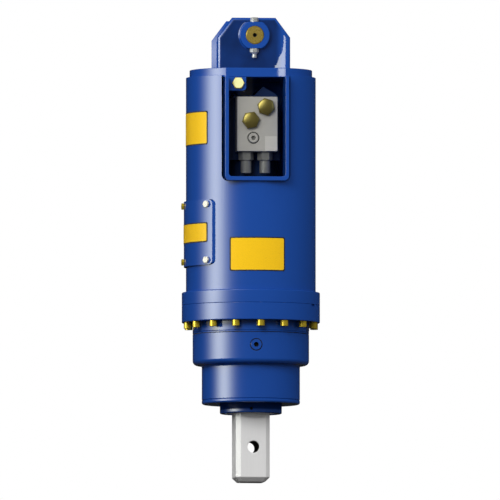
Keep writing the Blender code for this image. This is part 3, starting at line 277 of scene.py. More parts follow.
def broken_edges(piece, width, segments=3, angle=30):
    """Break every sharp edge of a piece."""
    return worked_by(piece, "BEVEL", width=width, segments=segments, limit_method="ANGLE",
                     angle_limit=math.radians(angle))


def combine(piece, tool, operation):
    """Cut a piece with a tool, join the two or keep what both share. The tool is used up."""
    worked_by(piece, "BOOLEAN", operation=operation, solver="EXACT", object=tool)
    bpy.data.objects.remove(tool, do_unlink=True)
    return piece


def cut(piece, tool):
    """Cut a tool's shape out of a piece."""
    return combine(piece, tool, "DIFFERENCE")


def join(piece, tool):
    """Weld a tool's shape to a piece."""
    return combine(piece, tool, "UNION")


def laid_together(piece, *others):
    """Put several bodies in one piece without welding them."""
    clear_bench()
    for other in others:
        other.select_set(True)
    piece.select_set(True)
    bpy.context.view_layer.objects.active = piece
    bpy.ops.object.join()
    return piece


def copied(piece, name, place=UPRIGHT):
    """Copy a piece with a mesh of its own to a new place."""
    twin = piece.copy()
    twin.data = piece.data.copy()
    twin.name = name
    twin.data.name = name
    bpy.context.scene.collection.objects.link(twin)
    return settle(twin, place)


def turned(name, stations, hollow=False, steps=TURNED_STEPS):
    """Turn a piece on a lathe: a ring is extruded and scaled from station to station."""
    clear_bench()
    radius, height = stations[0]
    bpy.ops.mesh.primitive_circle_add(vertices=steps, radius=radius, location=(0, 0, height))
    piece = named(name)
    open_up(piece)
    path = list(stations[1:])
    if hollow:
        path.append(stations[0])
    for next_radius, next_height in path:
        rise = (0, 0, next_height - height)
        bpy.ops.mesh.extrude_region_move(TRANSFORM_OT_translate={"value": rise})
        growth = next_radius / radius
        bpy.ops.transform.resize(value=(growth, growth, 1), center_override=(0, 0, next_height))
        radius, height = next_radius, next_height
    bpy.ops.mesh.select_all(action="SELECT")
    bpy.ops.mesh.remove_doubles(threshold=WELDED)
    if not hollow:
        bpy.ops.mesh.fill_holes(sides=0)
    bpy.ops.mesh.select_all(action="SELECT")
    bpy.ops.mesh.normals_make_consistent(inside=False)
    return settle(close_up(piece))


def block(name, low, high):
    """Saw a block between two corners."""
    clear_bench()
    size = Vector(high) - Vector(low)
    bpy.ops.mesh.primitive_cube_add(size=1, location=(Vector(high) + Vector(low)) / 2, scale=size)
    return settle(named(name))


def bar(name, radius, low, high, steps=SMALL_STEPS):
    """Saw a plain round bar along Z."""
    return turned(name, [(radius, low), (radius, high)], steps=steps)


def drilled(piece, tool, place):
    """Cut a piece with a tool that is first brought to its place."""
    return cut(piece, settle(tool, place))


def sixsided(name, across, low, high, crown):
    """Make a hexagon head along Z whose outer corners are turned off by a crown's height."""
    clear_bench()
    tip = across / math.sqrt(3)
    bpy.ops.mesh.primitive_cylinder_add(vertices=6, radius=tip, depth=high - low,
                                        location=(0, 0, (low + high) / 2),
                                        rotation=(0, 0, math.radians(30)))
    head = settle(named(name))
    shoulder = tip * 1.02
    lathe = turned(name + "_crown", [
        (shoulder, low - SUNK), (shoulder, high - crown),
        (across / 2 * 0.94, high + crown * 0.02)], steps=SMALL_STEPS)
    combine(head, lathe, "INTERSECT")
    return broken_edges(head, across * 0.012, 2, 20)


def corner(radius_middle, height_middle, size, start, end, steps=8):
    """Return lathe stations round a corner between two angles in degrees."""
    stations = []
    for index in range(steps + 1):
        angle = math.radians(start + (end - start) * index / steps)
        stations.append((radius_middle + size * math.cos(angle),
                         height_middle + size * math.sin(angle)))
    return stations


def upper_round(radius, height, size, steps=8):
    """Return lathe stations from a top face down round its outer edge."""
    return corner(radius - size, height - size, size, 90, 0, steps)


def lower_round(radius, height, size, steps=8):
    """Return lathe stations from a wall down round its lower outer edge."""
    return corner(radius - size, height + size, size, 0, -90, steps)


def around(azimuth, radius, height):
    """Return a place on the drive's side whose Z axis points outwards. Azimuth 0 is the front."""
    turn = Matrix.Rotation(math.radians(azimuth), 4, "Z")
    return turn @ Matrix.Translation((0, -radius, height)) @ TO_FRONT


def before(node, depth):
    """Return a place at a depth in front of a node's middle, whose Z axis points to the front."""
    middle = middle_of(node)
    return Matrix.Translation((middle.x, depth, middle.z)) @ TO_FRONT


def finished(piece, material, slot, *nodes, body="drive_unit", angle=35):
    """Smooth a piece, give it its material and body, and let it stand for CAD nodes."""
    take(piece)
    bpy.ops.object.shade_smooth_by_angle(angle=math.radians(angle))
    worked_by(piece, "WEIGHTED_NORMAL", keep_sharp=True, weight=100)
    piece.data.materials.clear()
    piece.data.materials.append(material)
    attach(piece, body)
    if nodes:
        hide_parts(*nodes)
    return piece


def paint_shade_in_hole(piece, place, radius, below, shade_finish, depth=0.02):
    """Line a hole along a place's Z axis with painted shade, from the depth below down to depth.
    """
    inverse = place.inverted()
    piece.data.materials.append(shade_finish)
    number = len(piece.data.materials) - 1
    for face in piece.data.polygons:
        spot = inverse @ face.center
        if spot.xy.length < radius and -depth < spot.z < -below:
            face.material_index = number
    return piece


# Materials


class Value:
    """A socket of a material's nodes. An expression on values adds its Math nodes."""

    def __init__(self, finish, socket):
        self.finish = finish
        self.socket = socket

    def worked(self, operation, *others):
        """Pass the value, and others after it, through a Math node."""
        feeds = dict(enumerate((self, *others)))
        return self.finish.node("ShaderNodeMath", {"operation": operation}, feeds)

    def __add__(self, other):
        return self.worked("ADD", other)

    def __sub__(self, other):
        return self.worked("SUBTRACT", other)

    def __rsub__(self, other):
        return self.finish.node("ShaderNodeMath", {"operation": "SUBTRACT"}, {0: other, 1: self})

    def __mul__(self, other):
        return self.worked("MULTIPLY", other)

    def __truediv__(self, other):
        return self.worked("DIVIDE", other)

    def __lt__(self, other):
        return self.worked("LESS_THAN", other)

    def __abs__(self):
        return self.worked("ABSOLUTE")

    __radd__ = __add__
    __rmul__ = __mul__


class Finish:
    """A material whose pattern is written as expressions."""

    def __init__(self, name, colour, roughness, metallic=0.0, **constants):
        self.material = bpy.data.materials.new(name)
        self.material.use_nodes = True
        self.tree = self.material.node_tree
        self.shader = self.tree.nodes["Principled BSDF"]
        self.paint("Base Color", (*colour, 1.0))
        self.paint("Roughness", roughness)
        self.paint("Metallic", metallic)
        for socket, value in constants.items():
            self.paint(socket.replace("_", " "), value)

    def node(self, kind, settings=None, feeds=None, output=0):
        """Add a node of any type: settings first, then its sockets' values or links."""
        made = self.tree.nodes.new(kind)
        for name, value in (settings or {}).items():
            setattr(made, name, value)
        for key, value in (feeds or {}).items():
            self.feed(made.inputs[key], value)
        return Value(self, made.outputs[output])

    def feed(self, socket, value):
        """Link a value to a socket, or set the socket to a number or vector."""
        if isinstance(value, Value):
            self.tree.links.new(value.socket, socket)
        else:
            socket.default_value = value

    def place(self, scale=(1, 1, 1)):
        """Return Object coordinates stretched by a scale."""
        raw = self.node("ShaderNodeTexCoord", output="Object")
        return self.node("ShaderNodeMapping", {}, {"Vector": raw, "Scale": scale})

    def along(self, axis, vector):
        """Return one coordinate of a vector."""
        return self.node("ShaderNodeSeparateXYZ", {}, {0: vector}, output=axis)

    def noise(self, size, detail=3.0, scale=(1, 1, 1)):
        """Return noise from 0 to 1 whose blotches are about this size in metres."""
        return self.node("ShaderNodeTexNoise", {}, {
            "Vector": self.place(scale), "Scale": 1.0 / size, "Detail": detail}, output="Fac")

    def faded(self, value, start, end):
        """Return 0 where a value is at the start, and softly more up to 1 at the end."""
        return self.node("ShaderNodeMapRange", {"interpolation_type": "SMOOTHSTEP"}, {
            "Value": value, "From Min": start, "From Max": end})

    def tint(self, mask, low, high):
        """Mix two colours by a mask from 0 to 1."""
        return self.node("ShaderNodeMix", {"data_type": "RGBA"}, {
            "Factor": mask, 6: (*low, 1.0), 7: (*high, 1.0)}, output=2)

    def paint(self, socket, value):
        """Feed one of the shader's own sockets."""
        self.feed(self.shader.inputs[socket], value)

    def cloud(self, mask, colour, dark, light):
        """Paint a colour that a mask from 0 to 1 takes from one shade to another."""
        self.paint("Base Color", self.tint(mask, shade_of(colour, dark), shade_of(colour, light)))

    def grain(self, height, depth):
        """Raise the surface by a height pattern, as a bump of this depth in metres."""
        self.paint("Normal", self.node("ShaderNodeBump", {}, {
            "Height": height, "Strength": 1.0, "Distance": depth}, output="Normal"))


def shade_of(colour, factor):
    """Return a colour made lighter or darker."""
    return tuple(channel * factor for channel in colour)


ORANGE_PEEL = 0.000004
BLUE = (0.0095, 0.0675, 0.345)
YELLOW_ZINC = (0.64, 0.47, 0.035)
CLEAR_ZINC = (0.60, 0.61, 0.60)
HIGHLIGHT_ZINC = (0.76, 0.73, 0.62)
PIN_GOLD = (0.42, 0.30, 0.06)
OLIVE = (0.52, 0.42, 0.12)
BARE_STEEL = (0.93, 0.925, 0.92)
CAST_GREY = (0.50, 0.485, 0.445)
DARK_GREY = (0.23, 0.23, 0.215)
GEAR_GREY = (0.40, 0.40, 0.39)
MARKER_YELLOW = (1.0, 0.60, 0.008)


def enamel(name, gloss=1.0, gloss_roughness=0.03):
    """Start a blue enamel with a faint orange peel under its clear coat."""
    finish = Finish(name, BLUE, 0.45, Coat_Weight=gloss, Coat_Roughness=gloss_roughness,
                    Coat_IOR=1.7, Specular_IOR_Level=0.0)
    finish.grain(finish.noise(0.004, 1.5), ORANGE_PEEL)
    return finish


def blue_enamel():
    """The gloss enamel on most of the drive."""
    finish = enamel("blue_enamel")
    finish.cloud(finish.noise(0.12, 2.0), BLUE, 0.96, 1.04)
    finish.paint("Roughness", 0.42 + 0.06 * finish.noise(0.03))
    return finish.material


def sheltered_enamel(name, bright, dark, ceiling, darkened, dulled):
    """Enamel with painted shade that darkens and dulls it from one height up to another, but not
    above a ceiling.
    """
    finish = enamel(name)
    height = finish.along("Z", finish.place())
    shelter = finish.faded(height, bright, dark) * (height < ceiling)
    painted_shelter_shade = shelter * (0.9 + 0.2 * finish.noise(0.02))
    # Painted shade: the base darkens and the clear coat thins where the mask is high.
    finish.paint("Base Color", finish.tint(painted_shelter_shade, BLUE, shade_of(BLUE, darkened)))
    finish.paint("Coat Weight", 1 - dulled * painted_shelter_shade)
    return finish.material


def uneven(name, colour, cloud, grit, rough, metallic=0.0, **constants):
    """A finish whose colour is cloudy and whose surface is gritty.

    The cloud has a size and two shades, and the grit a size, a detail and a depth. The roughness
    is one number, or the lowest one with its spread and the size of its blotches.
    """
    varies = isinstance(rough, tuple)
    finish = Finish(name, colour, rough[0] if varies else rough, metallic, **constants)
    size, dark, light = cloud
    finish.cloud(finish.noise(size), colour, dark, light)
    if varies:
        lowest, spread, size = rough
        finish.paint("Roughness", lowest + spread * finish.noise(size))
    size, detail, depth = grit
    finish.grain(finish.noise(size, detail), depth)
    return finish.material


def ear_enamel(name, gloss):
    """The enamel on an ear, with painted shade that darkens its flat faces but not its rims and
    bosses.
    """
    finish = enamel(name, gloss, 0.015)
    place = finish.place()
    off_face = abs(abs(finish.along("Y", place)) - EAR_FACE)
    flat = finish.faded(off_face, 0.0016, 0.0001)
    inboard = finish.faded(finish.along("X", place), 0.064, 0.045)
    painted_ear_shade = flat * inboard * (0.65 + 0.6 * finish.noise(0.05, 2.0))
    # Painted shade: the flat faces away from the right edge are darkened to a third of the blue.
    finish.paint("Base Color", finish.tint(painted_ear_shade, BLUE, shade_of(BLUE, 0.33)))
    return finish.material


def zinc_pale_yellow(front):
    """The lug bolt's plating, with a painted pale highlight on the face that stands in front of
    this depth.
    """
    painted_highlight = (1.0, 1.0, 0.47)
    finish = Finish("zinc_pale_yellow_plating", painted_highlight, 0.35)
    # Painted highlight: the face in front is pale, the rest keeps the yellow.
    face = finish.along("Y", finish.place()) < front
    mask = face * (0.85 + 0.15 * finish.noise(0.008))
    finish.paint("Base Color", finish.tint(mask, YELLOW_ZINC, painted_highlight))
    finish.grain(finish.noise(0.0012), 0.00003)
    return finish.material


def drawn_steel():
    """Bare steel of the square shaft, ground lengthwise."""
    finish = Finish("drawn_steel", BARE_STEEL, 0.4, 0.05)
    streaks = finish.noise(0.003, 4.0, (1, 1, 0.03))
    smudge = finish.noise(0.05)
    finish.cloud(0.6 * streaks + 0.4 * smudge, BARE_STEEL, 0.9, 1)
    finish.paint("Roughness", 0.36 + 0.12 * smudge)
    finish.grain(streaks, 0.00003)
    return finish.material


def milled_aluminium(name, colour):
    """Dull milled aluminium of the valve block and its blank plate."""
    finish = Finish(name, colour, 0.5, 0.4)
    passes = finish.noise(0.002, 2.0, (0.12, 1, 1))
    blotch = finish.noise(0.03)
    finish.cloud(0.35 * passes + 0.65 * blotch, colour, 0.86, 1.14)
    finish.paint("Roughness", 0.42 + 0.16 * blotch)
    finish.grain(passes, 0.00004)
    return finish.material


def oiled_gear_steel():
    """Ground gear steel under a film of oil."""
    finish = Finish("oiled_gear_steel", GEAR_GREY, 0.3, 1.0, Coat_Weight=0.4, Coat_Roughness=0.1)
    grind = finish.noise(0.0015, 2.0, (1, 1, 0.1))
    finish.cloud(finish.noise(0.02), GEAR_GREY, 0.85, 1)
    finish.paint("Roughness", 0.26 + 0.14 * grind)
    finish.grain(grind, 0.00002)
    return finish.material


def marker_film():
    """Plain yellow reflective film with the fine cells of such film."""
    finish = Finish("marker_film", MARKER_YELLOW, 0.4, Coat_Weight=0.25, Coat_Roughness=0.1,
                    Specular_IOR_Level=0.2)
    cells = finish.node("ShaderNodeTexVoronoi", {"feature": "DISTANCE_TO_EDGE"}, {
        "Vector": finish.place(), "Scale": 420.0}, output="Distance")
    finish.cloud(cells < 0.05, MARKER_YELLOW, 1, 0.88)
    finish.grain(cells, 0.00003)
    return finish.material


# Blue enamel: on the drive, the ears, the panel's cut edges and the sheltered faces, with painted
# shade on the ears' flat faces, the cut edges and the sheltered faces
ENAMEL = blue_enamel()
EAR_ENAMEL = ear_enamel("ear_enamel", 1.0)
REAR_EAR_ENAMEL = ear_enamel("rear_ear_enamel", 0.5)
EDGE_SHADE_ENAMEL = uneven("edge_painted_shade_enamel", shade_of(BLUE, 0.16), (0.01, 0.85, 1.15),
                     (0.004, 1.5, ORANGE_PEEL), 0.5, Coat_Weight=0.4, Coat_Roughness=0.05,
                     Specular_IOR_Level=0.0)
# Painted shade under the flange on the casing's neck, and on the collar's wall under the seal
# cover.
NECK_ENAMEL = sheltered_enamel("neck_enamel", CASING_LOW + 0.005, CASING_LOW + 0.014,
                               SCREW_SEAT + 0.0001, 0.8, 0.45)
COLLAR_ENAMEL = sheltered_enamel("collar_enamel", COLLAR_LOW + 0.0070, COLLAR_LOW + 0.0095,
                                 COLLAR_HIGH + 0.001, 0.45, 0.97)

# Painted shade for holes and gaps, rubber, film and the motor's dull enamel
HOLE_SHADE = uneven("hole_painted_shade", (0.012, 0.011, 0.009), (0.002, 0.6, 1.5), (0.0008, 3, 0.00004), 0.7)
RUBBER = uneven("seal_rubber_black", (0.022, 0.022, 0.022), (0.01, 0.8, 1.3),
                (0.001, 3, 0.00005), 0.75)
MOTOR = uneven("motor_enamel", (0.008, 0.022, 0.075), (0.05, 0.8, 1.2), (0.002, 4, 0.0001), 0.5,
               Specular_IOR_Level=0.2)
MARKER = marker_film()

# Plating on the screws, the pin, the plugs and the relief valves
CLEAR_FILM = (0.004, 0.85, 1.1), (0.001, 3, 0.00003), (0.28, 0.14, 0.002)
SATIN_FILM = (0.01, 0.93, 1.07), (0.0015, 1, 0.000005)
YELLOW = uneven("zinc_yellow_plating", YELLOW_ZINC, (0.006, 0.75, 1.25), (0.0012, 3, 0.00001),
                (0.2, 0.1, 0.002), 0.5)
SILVER = uneven("zinc_clear_plating", CLEAR_ZINC, *CLEAR_FILM, 0.6)
# Painted highlight: a pale copy of the screw plating for the screws that face the front.
PALE_ZINC = uneven("zinc_pale_plating", HIGHLIGHT_ZINC, *CLEAR_FILM, 0.15)
PIN_METAL = uneven("pin_gold_plating", PIN_GOLD, *SATIN_FILM, (0.25, 0.06, 0.005), 0.5)
PLUG_METAL = uneven("plug_olive_plating", OLIVE, *SATIN_FILM, (0.27, 0.06, 0.005), 0.9)
# Painted shade: a darker copy of the plugs' plating for their hexagons.
PLUG_PAINTED_SHADE = uneven("plug_painted_shade_plating", shade_of(OLIVE, 0.4), *SATIN_FILM,
                    (0.37, 0.06, 0.005), 0.6)
DARK = uneven("dark_plating", DARK_GREY, (0.008, 0.85, 1.15), (0.0015, 3, 0.00003),
              (0.4, 0.12, 0.008), 0.5)

# Bare metal
SHAFT_METAL = drawn_steel()
ALUMINIUM = milled_aluminium("milled_aluminium", CAST_GREY)
PLATE_METAL = milled_aluminium("plate_aluminium", shade_of(CAST_GREY, 1.3))
GEAR = oiled_gear_steel()


# The hood


def build_hood_tube():
    """The hood's tube, slotted from its top for the hose window and open under the panel."""
    tube = turned("hood_tube_shell", [
        (TUBE_BORE, TUBE_HIGH), (TUBE_RADIUS, TUBE_HIGH), (TUBE_RADIUS, TUBE_LOW),
        (TUBE_BORE, TUBE_LOW)], hollow=True)
    broken_edges(tube, EDGE_BREAK)
    frame_low, frame_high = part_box("window_frame")
    half = frame_high.x + WINDOW_GAP
    low = frame_low.z - FIT_GAP
    outside, inside = -TUBE_RADIUS * 1.2, -TUBE_BORE / 3
    window = block("window_cutter", (-half, outside, low), (half, inside, TUBE_HIGH + CUT_REACH))
    round_edges(window, at_foot(low), WINDOW_CORNER + WINDOW_GAP, 8)
    cut(tube, window)
    low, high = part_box("access_panel")
    opening = block("panel_opening_cutter", (outside, low.y + PANEL_LAP, low.z + PANEL_LAP),
                    (inside, high.y - PANEL_LAP, high.z - PANEL_LAP))
    round_edges(opening, lambda a, b: abs(a.x - b.x) > WELDED, PANEL_CORNER, 5)
    cut(tube, opening)
    finished(tube, ENAMEL, "blue_paint", "hood_tube")


def build_top_plate():
    """The plate on top of the hood, with its flat facet in front."""
    radius = radius_of("top_plate")
    plate = turned("top_plate_disc", [(radius, PLATE_LOW), (radius, PLATE_HIGH)])
    slice_off(plate, (0, -PLATE_FACET, 0), (0, -1, 0))
    broken_edges(plate, RIM_BREAK)
    finished(plate, ENAMEL, "blue_paint", "top_plate", angle=10)


def build_window_frame():
    """The U-shaped frame of the hose window with its lug."""
    low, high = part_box("window_frame")
    front = low.y + LUG_SETBACK
    low.x, high.x = -WINDOW_HALF, WINDOW_HALF
    low.y -= WINDOW_PROUD
    left, right = low.x + WINDOW_WALL, high.x - WINDOW_WALL
    lip = block("hose_window_frame", low, high)
    round_edges(lip, at_foot(low.z), WINDOW_CORNER, 8)
    sill = low.z + WINDOW_SILL
    core = block("window_core_cutter", (left, low.y - CUT_REACH, sill),
                 (right, high.y + CUT_REACH, high.z + CUT_REACH))
    round_edges(core, at_foot(sill), WINDOW_CORNER - WINDOW_WALL / 2, 8)
    cut(lip, core)
    broken_edges(lip, 0.0011)
    side, foot = left + LUG_WIDTH, high.z - LUG_DROP
    lug = block("frame_lug", (left - WINDOW_WALL / 2, front, foot),
                (side, front + LUG_THICK, high.z))
    round_edges(lug, lambda a, b: at_foot(foot)(a, b) and min(a.x, b.x) > side - WELDED, 0.008, 8)
    broken_edges(lug, RIM_BREAK)
    laid_together(lip, lug)
    finished(lip, ENAMEL, "blue_paint", "window_frame")


def bolt_head(name, across, height):
    """A hexagon head on its thin washer face, along Z from the plane Z = 0."""
    head = sixsided(name, across, EDGE_BREAK, height, height * 0.16)
    face = bar(name + "_washer", across * 0.475, 0, EDGE_BREAK + SUNK, FASTENER_STEPS)
    return laid_together(head, face)


def build_lug_bolt():
    """The yellow bolt in the frame's lug."""
    low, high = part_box("lug_bolt")
    height = 0.009
    seat = low.y + height
    bolt = bolt_head("lug_bolt_hexagon", 0.023, height)
    laid_together(bolt, bar("lug_bolt_shank", 0.007, seat - high.y, SUNK))
    settle(bolt, before("lug_bolt", seat))
    finished(bolt, zinc_pale_yellow(seat - 0.0088), "zinc_yellow", "lug_bolt")


def build_access_panel():
    """The curved cover on the left side, with its six screws."""
    low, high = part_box("access_panel")
    outer = -low.x
    panel = wrapped_sheet("access_panel_cover", TUBE_RADIUS + FIT_GAP, outer, high.y,
                          low.z, high.z, SIDE_AZIMUTH, PANEL_CORNER)
    broken_edges(panel, 0.0009, 2)
    finished(panel, ENAMEL, "blue_paint", "access_panel")
    # Painted shade: every cut edge of the panel gets the dark edge enamel.
    panel.data.materials.append(EDGE_SHADE_ENAMEL)
    for face in panel.data.polygons:
        outwards = Vector((face.center.x, face.center.y, 0)).normalized()
        if abs(face.normal.dot(outwards)) < 0.5:
            face.material_index = 1
    for number in range(1, 7):
        node = "panel_screw_%d" % number
        middle = middle_of(node)
        azimuth = math.degrees(math.atan2(middle.x, -middle.y))
        screw = bolt_head("panel_screw_head_%d" % number, 0.0135, 0.0055)
        laid_together(screw, bar("panel_screw_shank", 0.004, -0.0159, SUNK, FASTENER_STEPS))
        settle(screw, around(azimuth, outer + FIT_GAP, middle.z))
        # Painted highlight: screws that face the front take the pale plating, those at the side
        # the yellow.
        plating = PALE_ZINC if azimuth > SIDE_SCREWS else YELLOW
        finished(screw, plating, "zinc_yellow", node)


# The hitch


def build_ear(name, node, side):
    """One ear of the hitch. Side -1 is the front ear and 1 the rear ear."""
    low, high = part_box(node)
    inner, outer = side * EAR_INSIDE, side * EAR_FACE
    crown = high.z + EAR_CROWN_RISE
    ear = block(name, (low.x, min(inner, outer), low.z), (high.x, max(inner, outer), crown))
    for hand in (-1, 1):
        edge = (hand * high.x, 0, crown - EAR_CORNER_DOWN)
        slice_off(ear, edge, (hand * EAR_CORNER_DOWN, 0, EAR_CORNER_ACROSS))

    def rim_at(depth):
        return lambda a, b: (max(abs(a.y - depth), abs(b.y - depth)) < WELDED
                             and max(a.z, b.z) > low.z + WELDED)

    round_edges(ear, rim_at(outer), EAR_EDGE_ROUND, 8)
    if side > 0:
        round_edges(ear, rim_at(inner), REAR_EAR_CHAMFER, 1)
    else:
        round_edges(ear, rim_at(inner), EAR_EDGE_ROUND, 8)
    length = abs(high.y if side > 0 else low.y) - abs(outer)
    weld = BOSS_RADIUS + BOSS_WELD
    lift = 0.0002
    boss = turned(name + "_boss", [(weld, -0.006), (weld, lift)]
                  + corner(weld, BOSS_WELD + lift, BOSS_WELD, 270, 180)
                  + corner(BOSS_RADIUS - EDGE_BREAK, length - EDGE_BREAK, EDGE_BREAK, 0, 90, 4))
    for hand in (-1, 1):
        slice_off(boss, (0, hand * BOSS_FLAT, 0), (0, hand, 0))
    settle(boss, Matrix.Translation((0, outer, 0)) @ (TO_BACK if side > 0 else TO_FRONT))
    join(ear, boss)
    drilled(ear, bar(name + "_bore", PIN_BORE, -0.12, 0.12, BORE_STEPS), TO_FRONT)
    finished(ear, REAR_EAR_ENAMEL if side > 0 else EAR_ENAMEL, "blue_paint", node)


def build_hanger_pin():
    """The pin between the ears, with a centre hole in its front face."""
    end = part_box("hanger_pin")[1]
    radius, half = end.x, end.y
    centre = 0.0037
    pin = turned("hanger_pin_bar", [
        (centre, half - 0.012), (centre, half - 0.0008), (0.0045, half), (radius - 0.0021, half),
        (radius, half - 0.00165), (radius, 0.0019 - half), (radius - 0.0019, -half)],
        steps=BORE_STEPS)
    settle(pin, TO_FRONT)
    finished(pin, PIN_METAL, "pin_steel", "hanger_pin")
    # Painted shade in the pin's centre hole.
    paint_shade_in_hole(pin, Matrix.Translation((0, -half, 0)) @ TO_FRONT, 0.0042, 0.0004, HOLE_SHADE)


def build_lock_bolt():
    """The small bolt on top of the front boss, which holds the pin."""
    low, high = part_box("pin_lock_bolt")
    seat = BOSS_FLAT + FIT_GAP
    bolt = bolt_head("pin_lock_bolt_hexagon", 0.015, high.z - seat + 0.0032)
    laid_together(bolt, bar("pin_lock_shank", 0.005, low.z - seat, SUNK, FASTENER_STEPS))
    settle(bolt, Matrix.Translation((0, middle_of("pin_lock_bolt").y, seat)))
    finished(bolt, SILVER, "zinc_silver", "pin_lock_bolt")


def build_grease_nipple():
    """The grease nipple under the front boss: hexagon, cone, neck and ball."""
    seat = -BOSS_FLAT - FIT_GAP
    length = seat - span_of("grease_nipple")[0]
    nipple = sixsided("grease_nipple_body", 0.0165, 0, 0.0085, 0.0014)
    neck = turned("nipple_neck", [
        (0.0074, 0.0075), (0.0072, 0.0088), (0.0050, 0.0118), (0.0044, 0.0126), (0.0043, 0.0138),
        (0.0047, 0.0148), (0.0048, 0.0172), (0.0048, 0.0188), (0.0043, 0.0202),
        (0.0031, length - 0.0002), (0.0012, length)], steps=SMALL_STEPS)
    laid_together(nipple, neck, bar("nipple_stub", 0.004, -0.006, 0.002, FASTENER_STEPS))
    settle(nipple, Matrix.Translation((0, middle_of("grease_nipple").y, seat)) @ DOWNWARDS)
    finished(nipple, SILVER, "zinc_silver", "grease_nipple")


# The gearbox


def build_hood_flange():
    """The flange ring at the hood's foot."""
    flange = turned("hood_flange_ring", [(TUBE_BORE, FLANGE_HIGH)]
                    + upper_round(FLANGE_RADIUS, FLANGE_HIGH, FLANGE_ROUND, 5)
                    + lower_round(FLANGE_RADIUS, FLANGE_LOW, EDGE_BREAK, 3)
                    + [(TUBE_BORE, FLANGE_LOW)], hollow=True)
    finished(flange, ENAMEL, "blue_paint", "hood_flange")


def build_casing():
    """The gearbox casing: flange, neck, spigot and the ring gear's teeth."""
    spigot = TUBE_BORE - FIT_GAP
    ring_low = CASING_LOW + 0.007
    casing = turned("gearbox_casing_shell", [
        (RING_ROOT, CASING_HIGH), (spigot, CASING_HIGH), (spigot, CASING_SEAT)]
        + upper_round(FLANGE_RADIUS, CASING_SEAT, EDGE_BREAK, 3)
        + lower_round(FLANGE_RADIUS, SCREW_SEAT, FLANGE_ROUND, 5)
        + [(HOUSING_RADIUS, SCREW_SEAT), (HOUSING_RADIUS, CASING_LOW + EDGE_BREAK),
           (HOUSING_RADIUS - EDGE_BREAK, CASING_LOW), (GEAR_ROOM, CASING_LOW),
           (GEAR_ROOM, ring_low), (RING_ROOT, ring_low)], hollow=True)
    open_up(casing)
    choose(casing, "faces", tooth_face)
    bpy.ops.mesh.extrude_region_move()
    growth = RING_TIP / RING_ROOT
    bpy.ops.transform.resize(value=(growth, growth, 1), center_override=(0, 0, 0))
    close_up(casing)
    slot = block("pry_slot_cutter", (-0.0078, -0.0043, -0.005), (0.0078, 0.0043, 0.005))
    drilled(casing, slot, around(PRY_SLOT_AZIMUTH, FLANGE_RADIUS, CASING_SEAT))
    finished(casing, NECK_ENAMEL, "blue_paint", "gearbox_casing")


def tooth_face(face):
    """Tell whether a face of the ring's bore is the foot of one of its teeth."""
    if any(abs(vert.co.xy.length - RING_ROOT) > 0.0001 for vert in face.verts):
        return False
    pitch = 360 / RING_TEETH
    middle = face.calc_center_median()
    azimuth = math.degrees(math.atan2(middle.y, middle.x)) % pitch
    return pitch * 0.375 < azimuth < pitch * 0.9


def build_bearing_housing():
    """The lower housing with its nose and the groove under its rim."""
    shoulder = HOUSING_HIGH - NOSE_DROP
    groove = HOUSING_RADIUS - RIM_BREAK
    shaft_room = span_of("upper_bearing_cup")[1] - 0.0007
    housing = turned("bearing_housing_shell", [
        (GEAR_ROOM, HOUSING_HIGH), (HOUSING_RADIUS - EDGE_BREAK, HOUSING_HIGH),
        (HOUSING_RADIUS, HOUSING_HIGH - EDGE_BREAK), (HOUSING_RADIUS, HOUSING_HIGH - 0.0026),
        (groove, HOUSING_HIGH - 0.0032), (groove, HOUSING_HIGH - 0.0040),
        (HOUSING_RADIUS, HOUSING_HIGH - 0.0046)]
        + lower_round(HOUSING_RADIUS, shoulder, HOUSING_CORNER)
        + corner(NOSE_RADIUS + NOSE_FILLET, shoulder - NOSE_FILLET, NOSE_FILLET, 90, 180, 6)
        + [(NOSE_RADIUS, HOUSING_LOW + RIM_BREAK), (NOSE_RADIUS - RIM_BREAK, HOUSING_LOW),
           (SEAL_SEAT, HOUSING_LOW), (SEAL_SEAT, HOUSING_LOW + 0.0126),
           (CUP_SEAT, HOUSING_LOW + 0.0158), (CUP_SEAT, shaft_room), (GEAR_ROOM, shaft_room)],
        hollow=True)
    seat = around(0, HOUSING_RADIUS, middle_of("fill_plug").z)
    drilled(housing, bar("fill_plug_bore_cutter", 0.0137, -0.0145, 0.003, HOLE_STEPS), seat)
    finished(housing, ENAMEL, "blue_paint", "bearing_housing")
    # Painted shade in the fill plug's bore and in the groove under the rim.
    paint_shade_in_hole(housing, seat, 0.0139, 0.0016, HOLE_SHADE)
    rim = Matrix.Translation((0, 0, HOUSING_HIGH))
    paint_shade_in_hole(housing, rim, HOUSING_RADIUS - FIT_GAP, 0.0027, HOLE_SHADE, 0.0041)
    build_fill_plug(seat)


def build_fill_plug(seat):
    """The plug in the housing's side, with a hexagon socket, painted shade in it and a dark ring
    of painted shade in the gap round it.
    """
    plug = turned("fill_plug_body", [
        (0.0135, -0.014), (0.0135, -0.0032), (0.0117, -0.0028), (0.0117, -0.0003), (0.0114, 0)],
        steps=HOLE_STEPS)
    cut(plug, sixsided("fill_plug_socket_cutter", 0.010, -0.009, 0.004, 0.0005))
    settle(plug, seat)
    finished(plug, ENAMEL, "blue_paint", "fill_plug")
    # Painted shade in the plug's socket.
    paint_shade_in_hole(plug, seat, 0.0061, 0.0002, HOLE_SHADE)
    # A dark ring in the gap round the plug, as painted shade.
    ring = turned("fill_plug_gap_shade", [
        (0.0118, -0.0030), (0.0136, -0.0030), (0.0136, -0.0018), (0.0118, -0.0018)],
        hollow=True, steps=HOLE_STEPS)
    finished(settle(ring, seat), HOLE_SHADE, "seal_rubber")


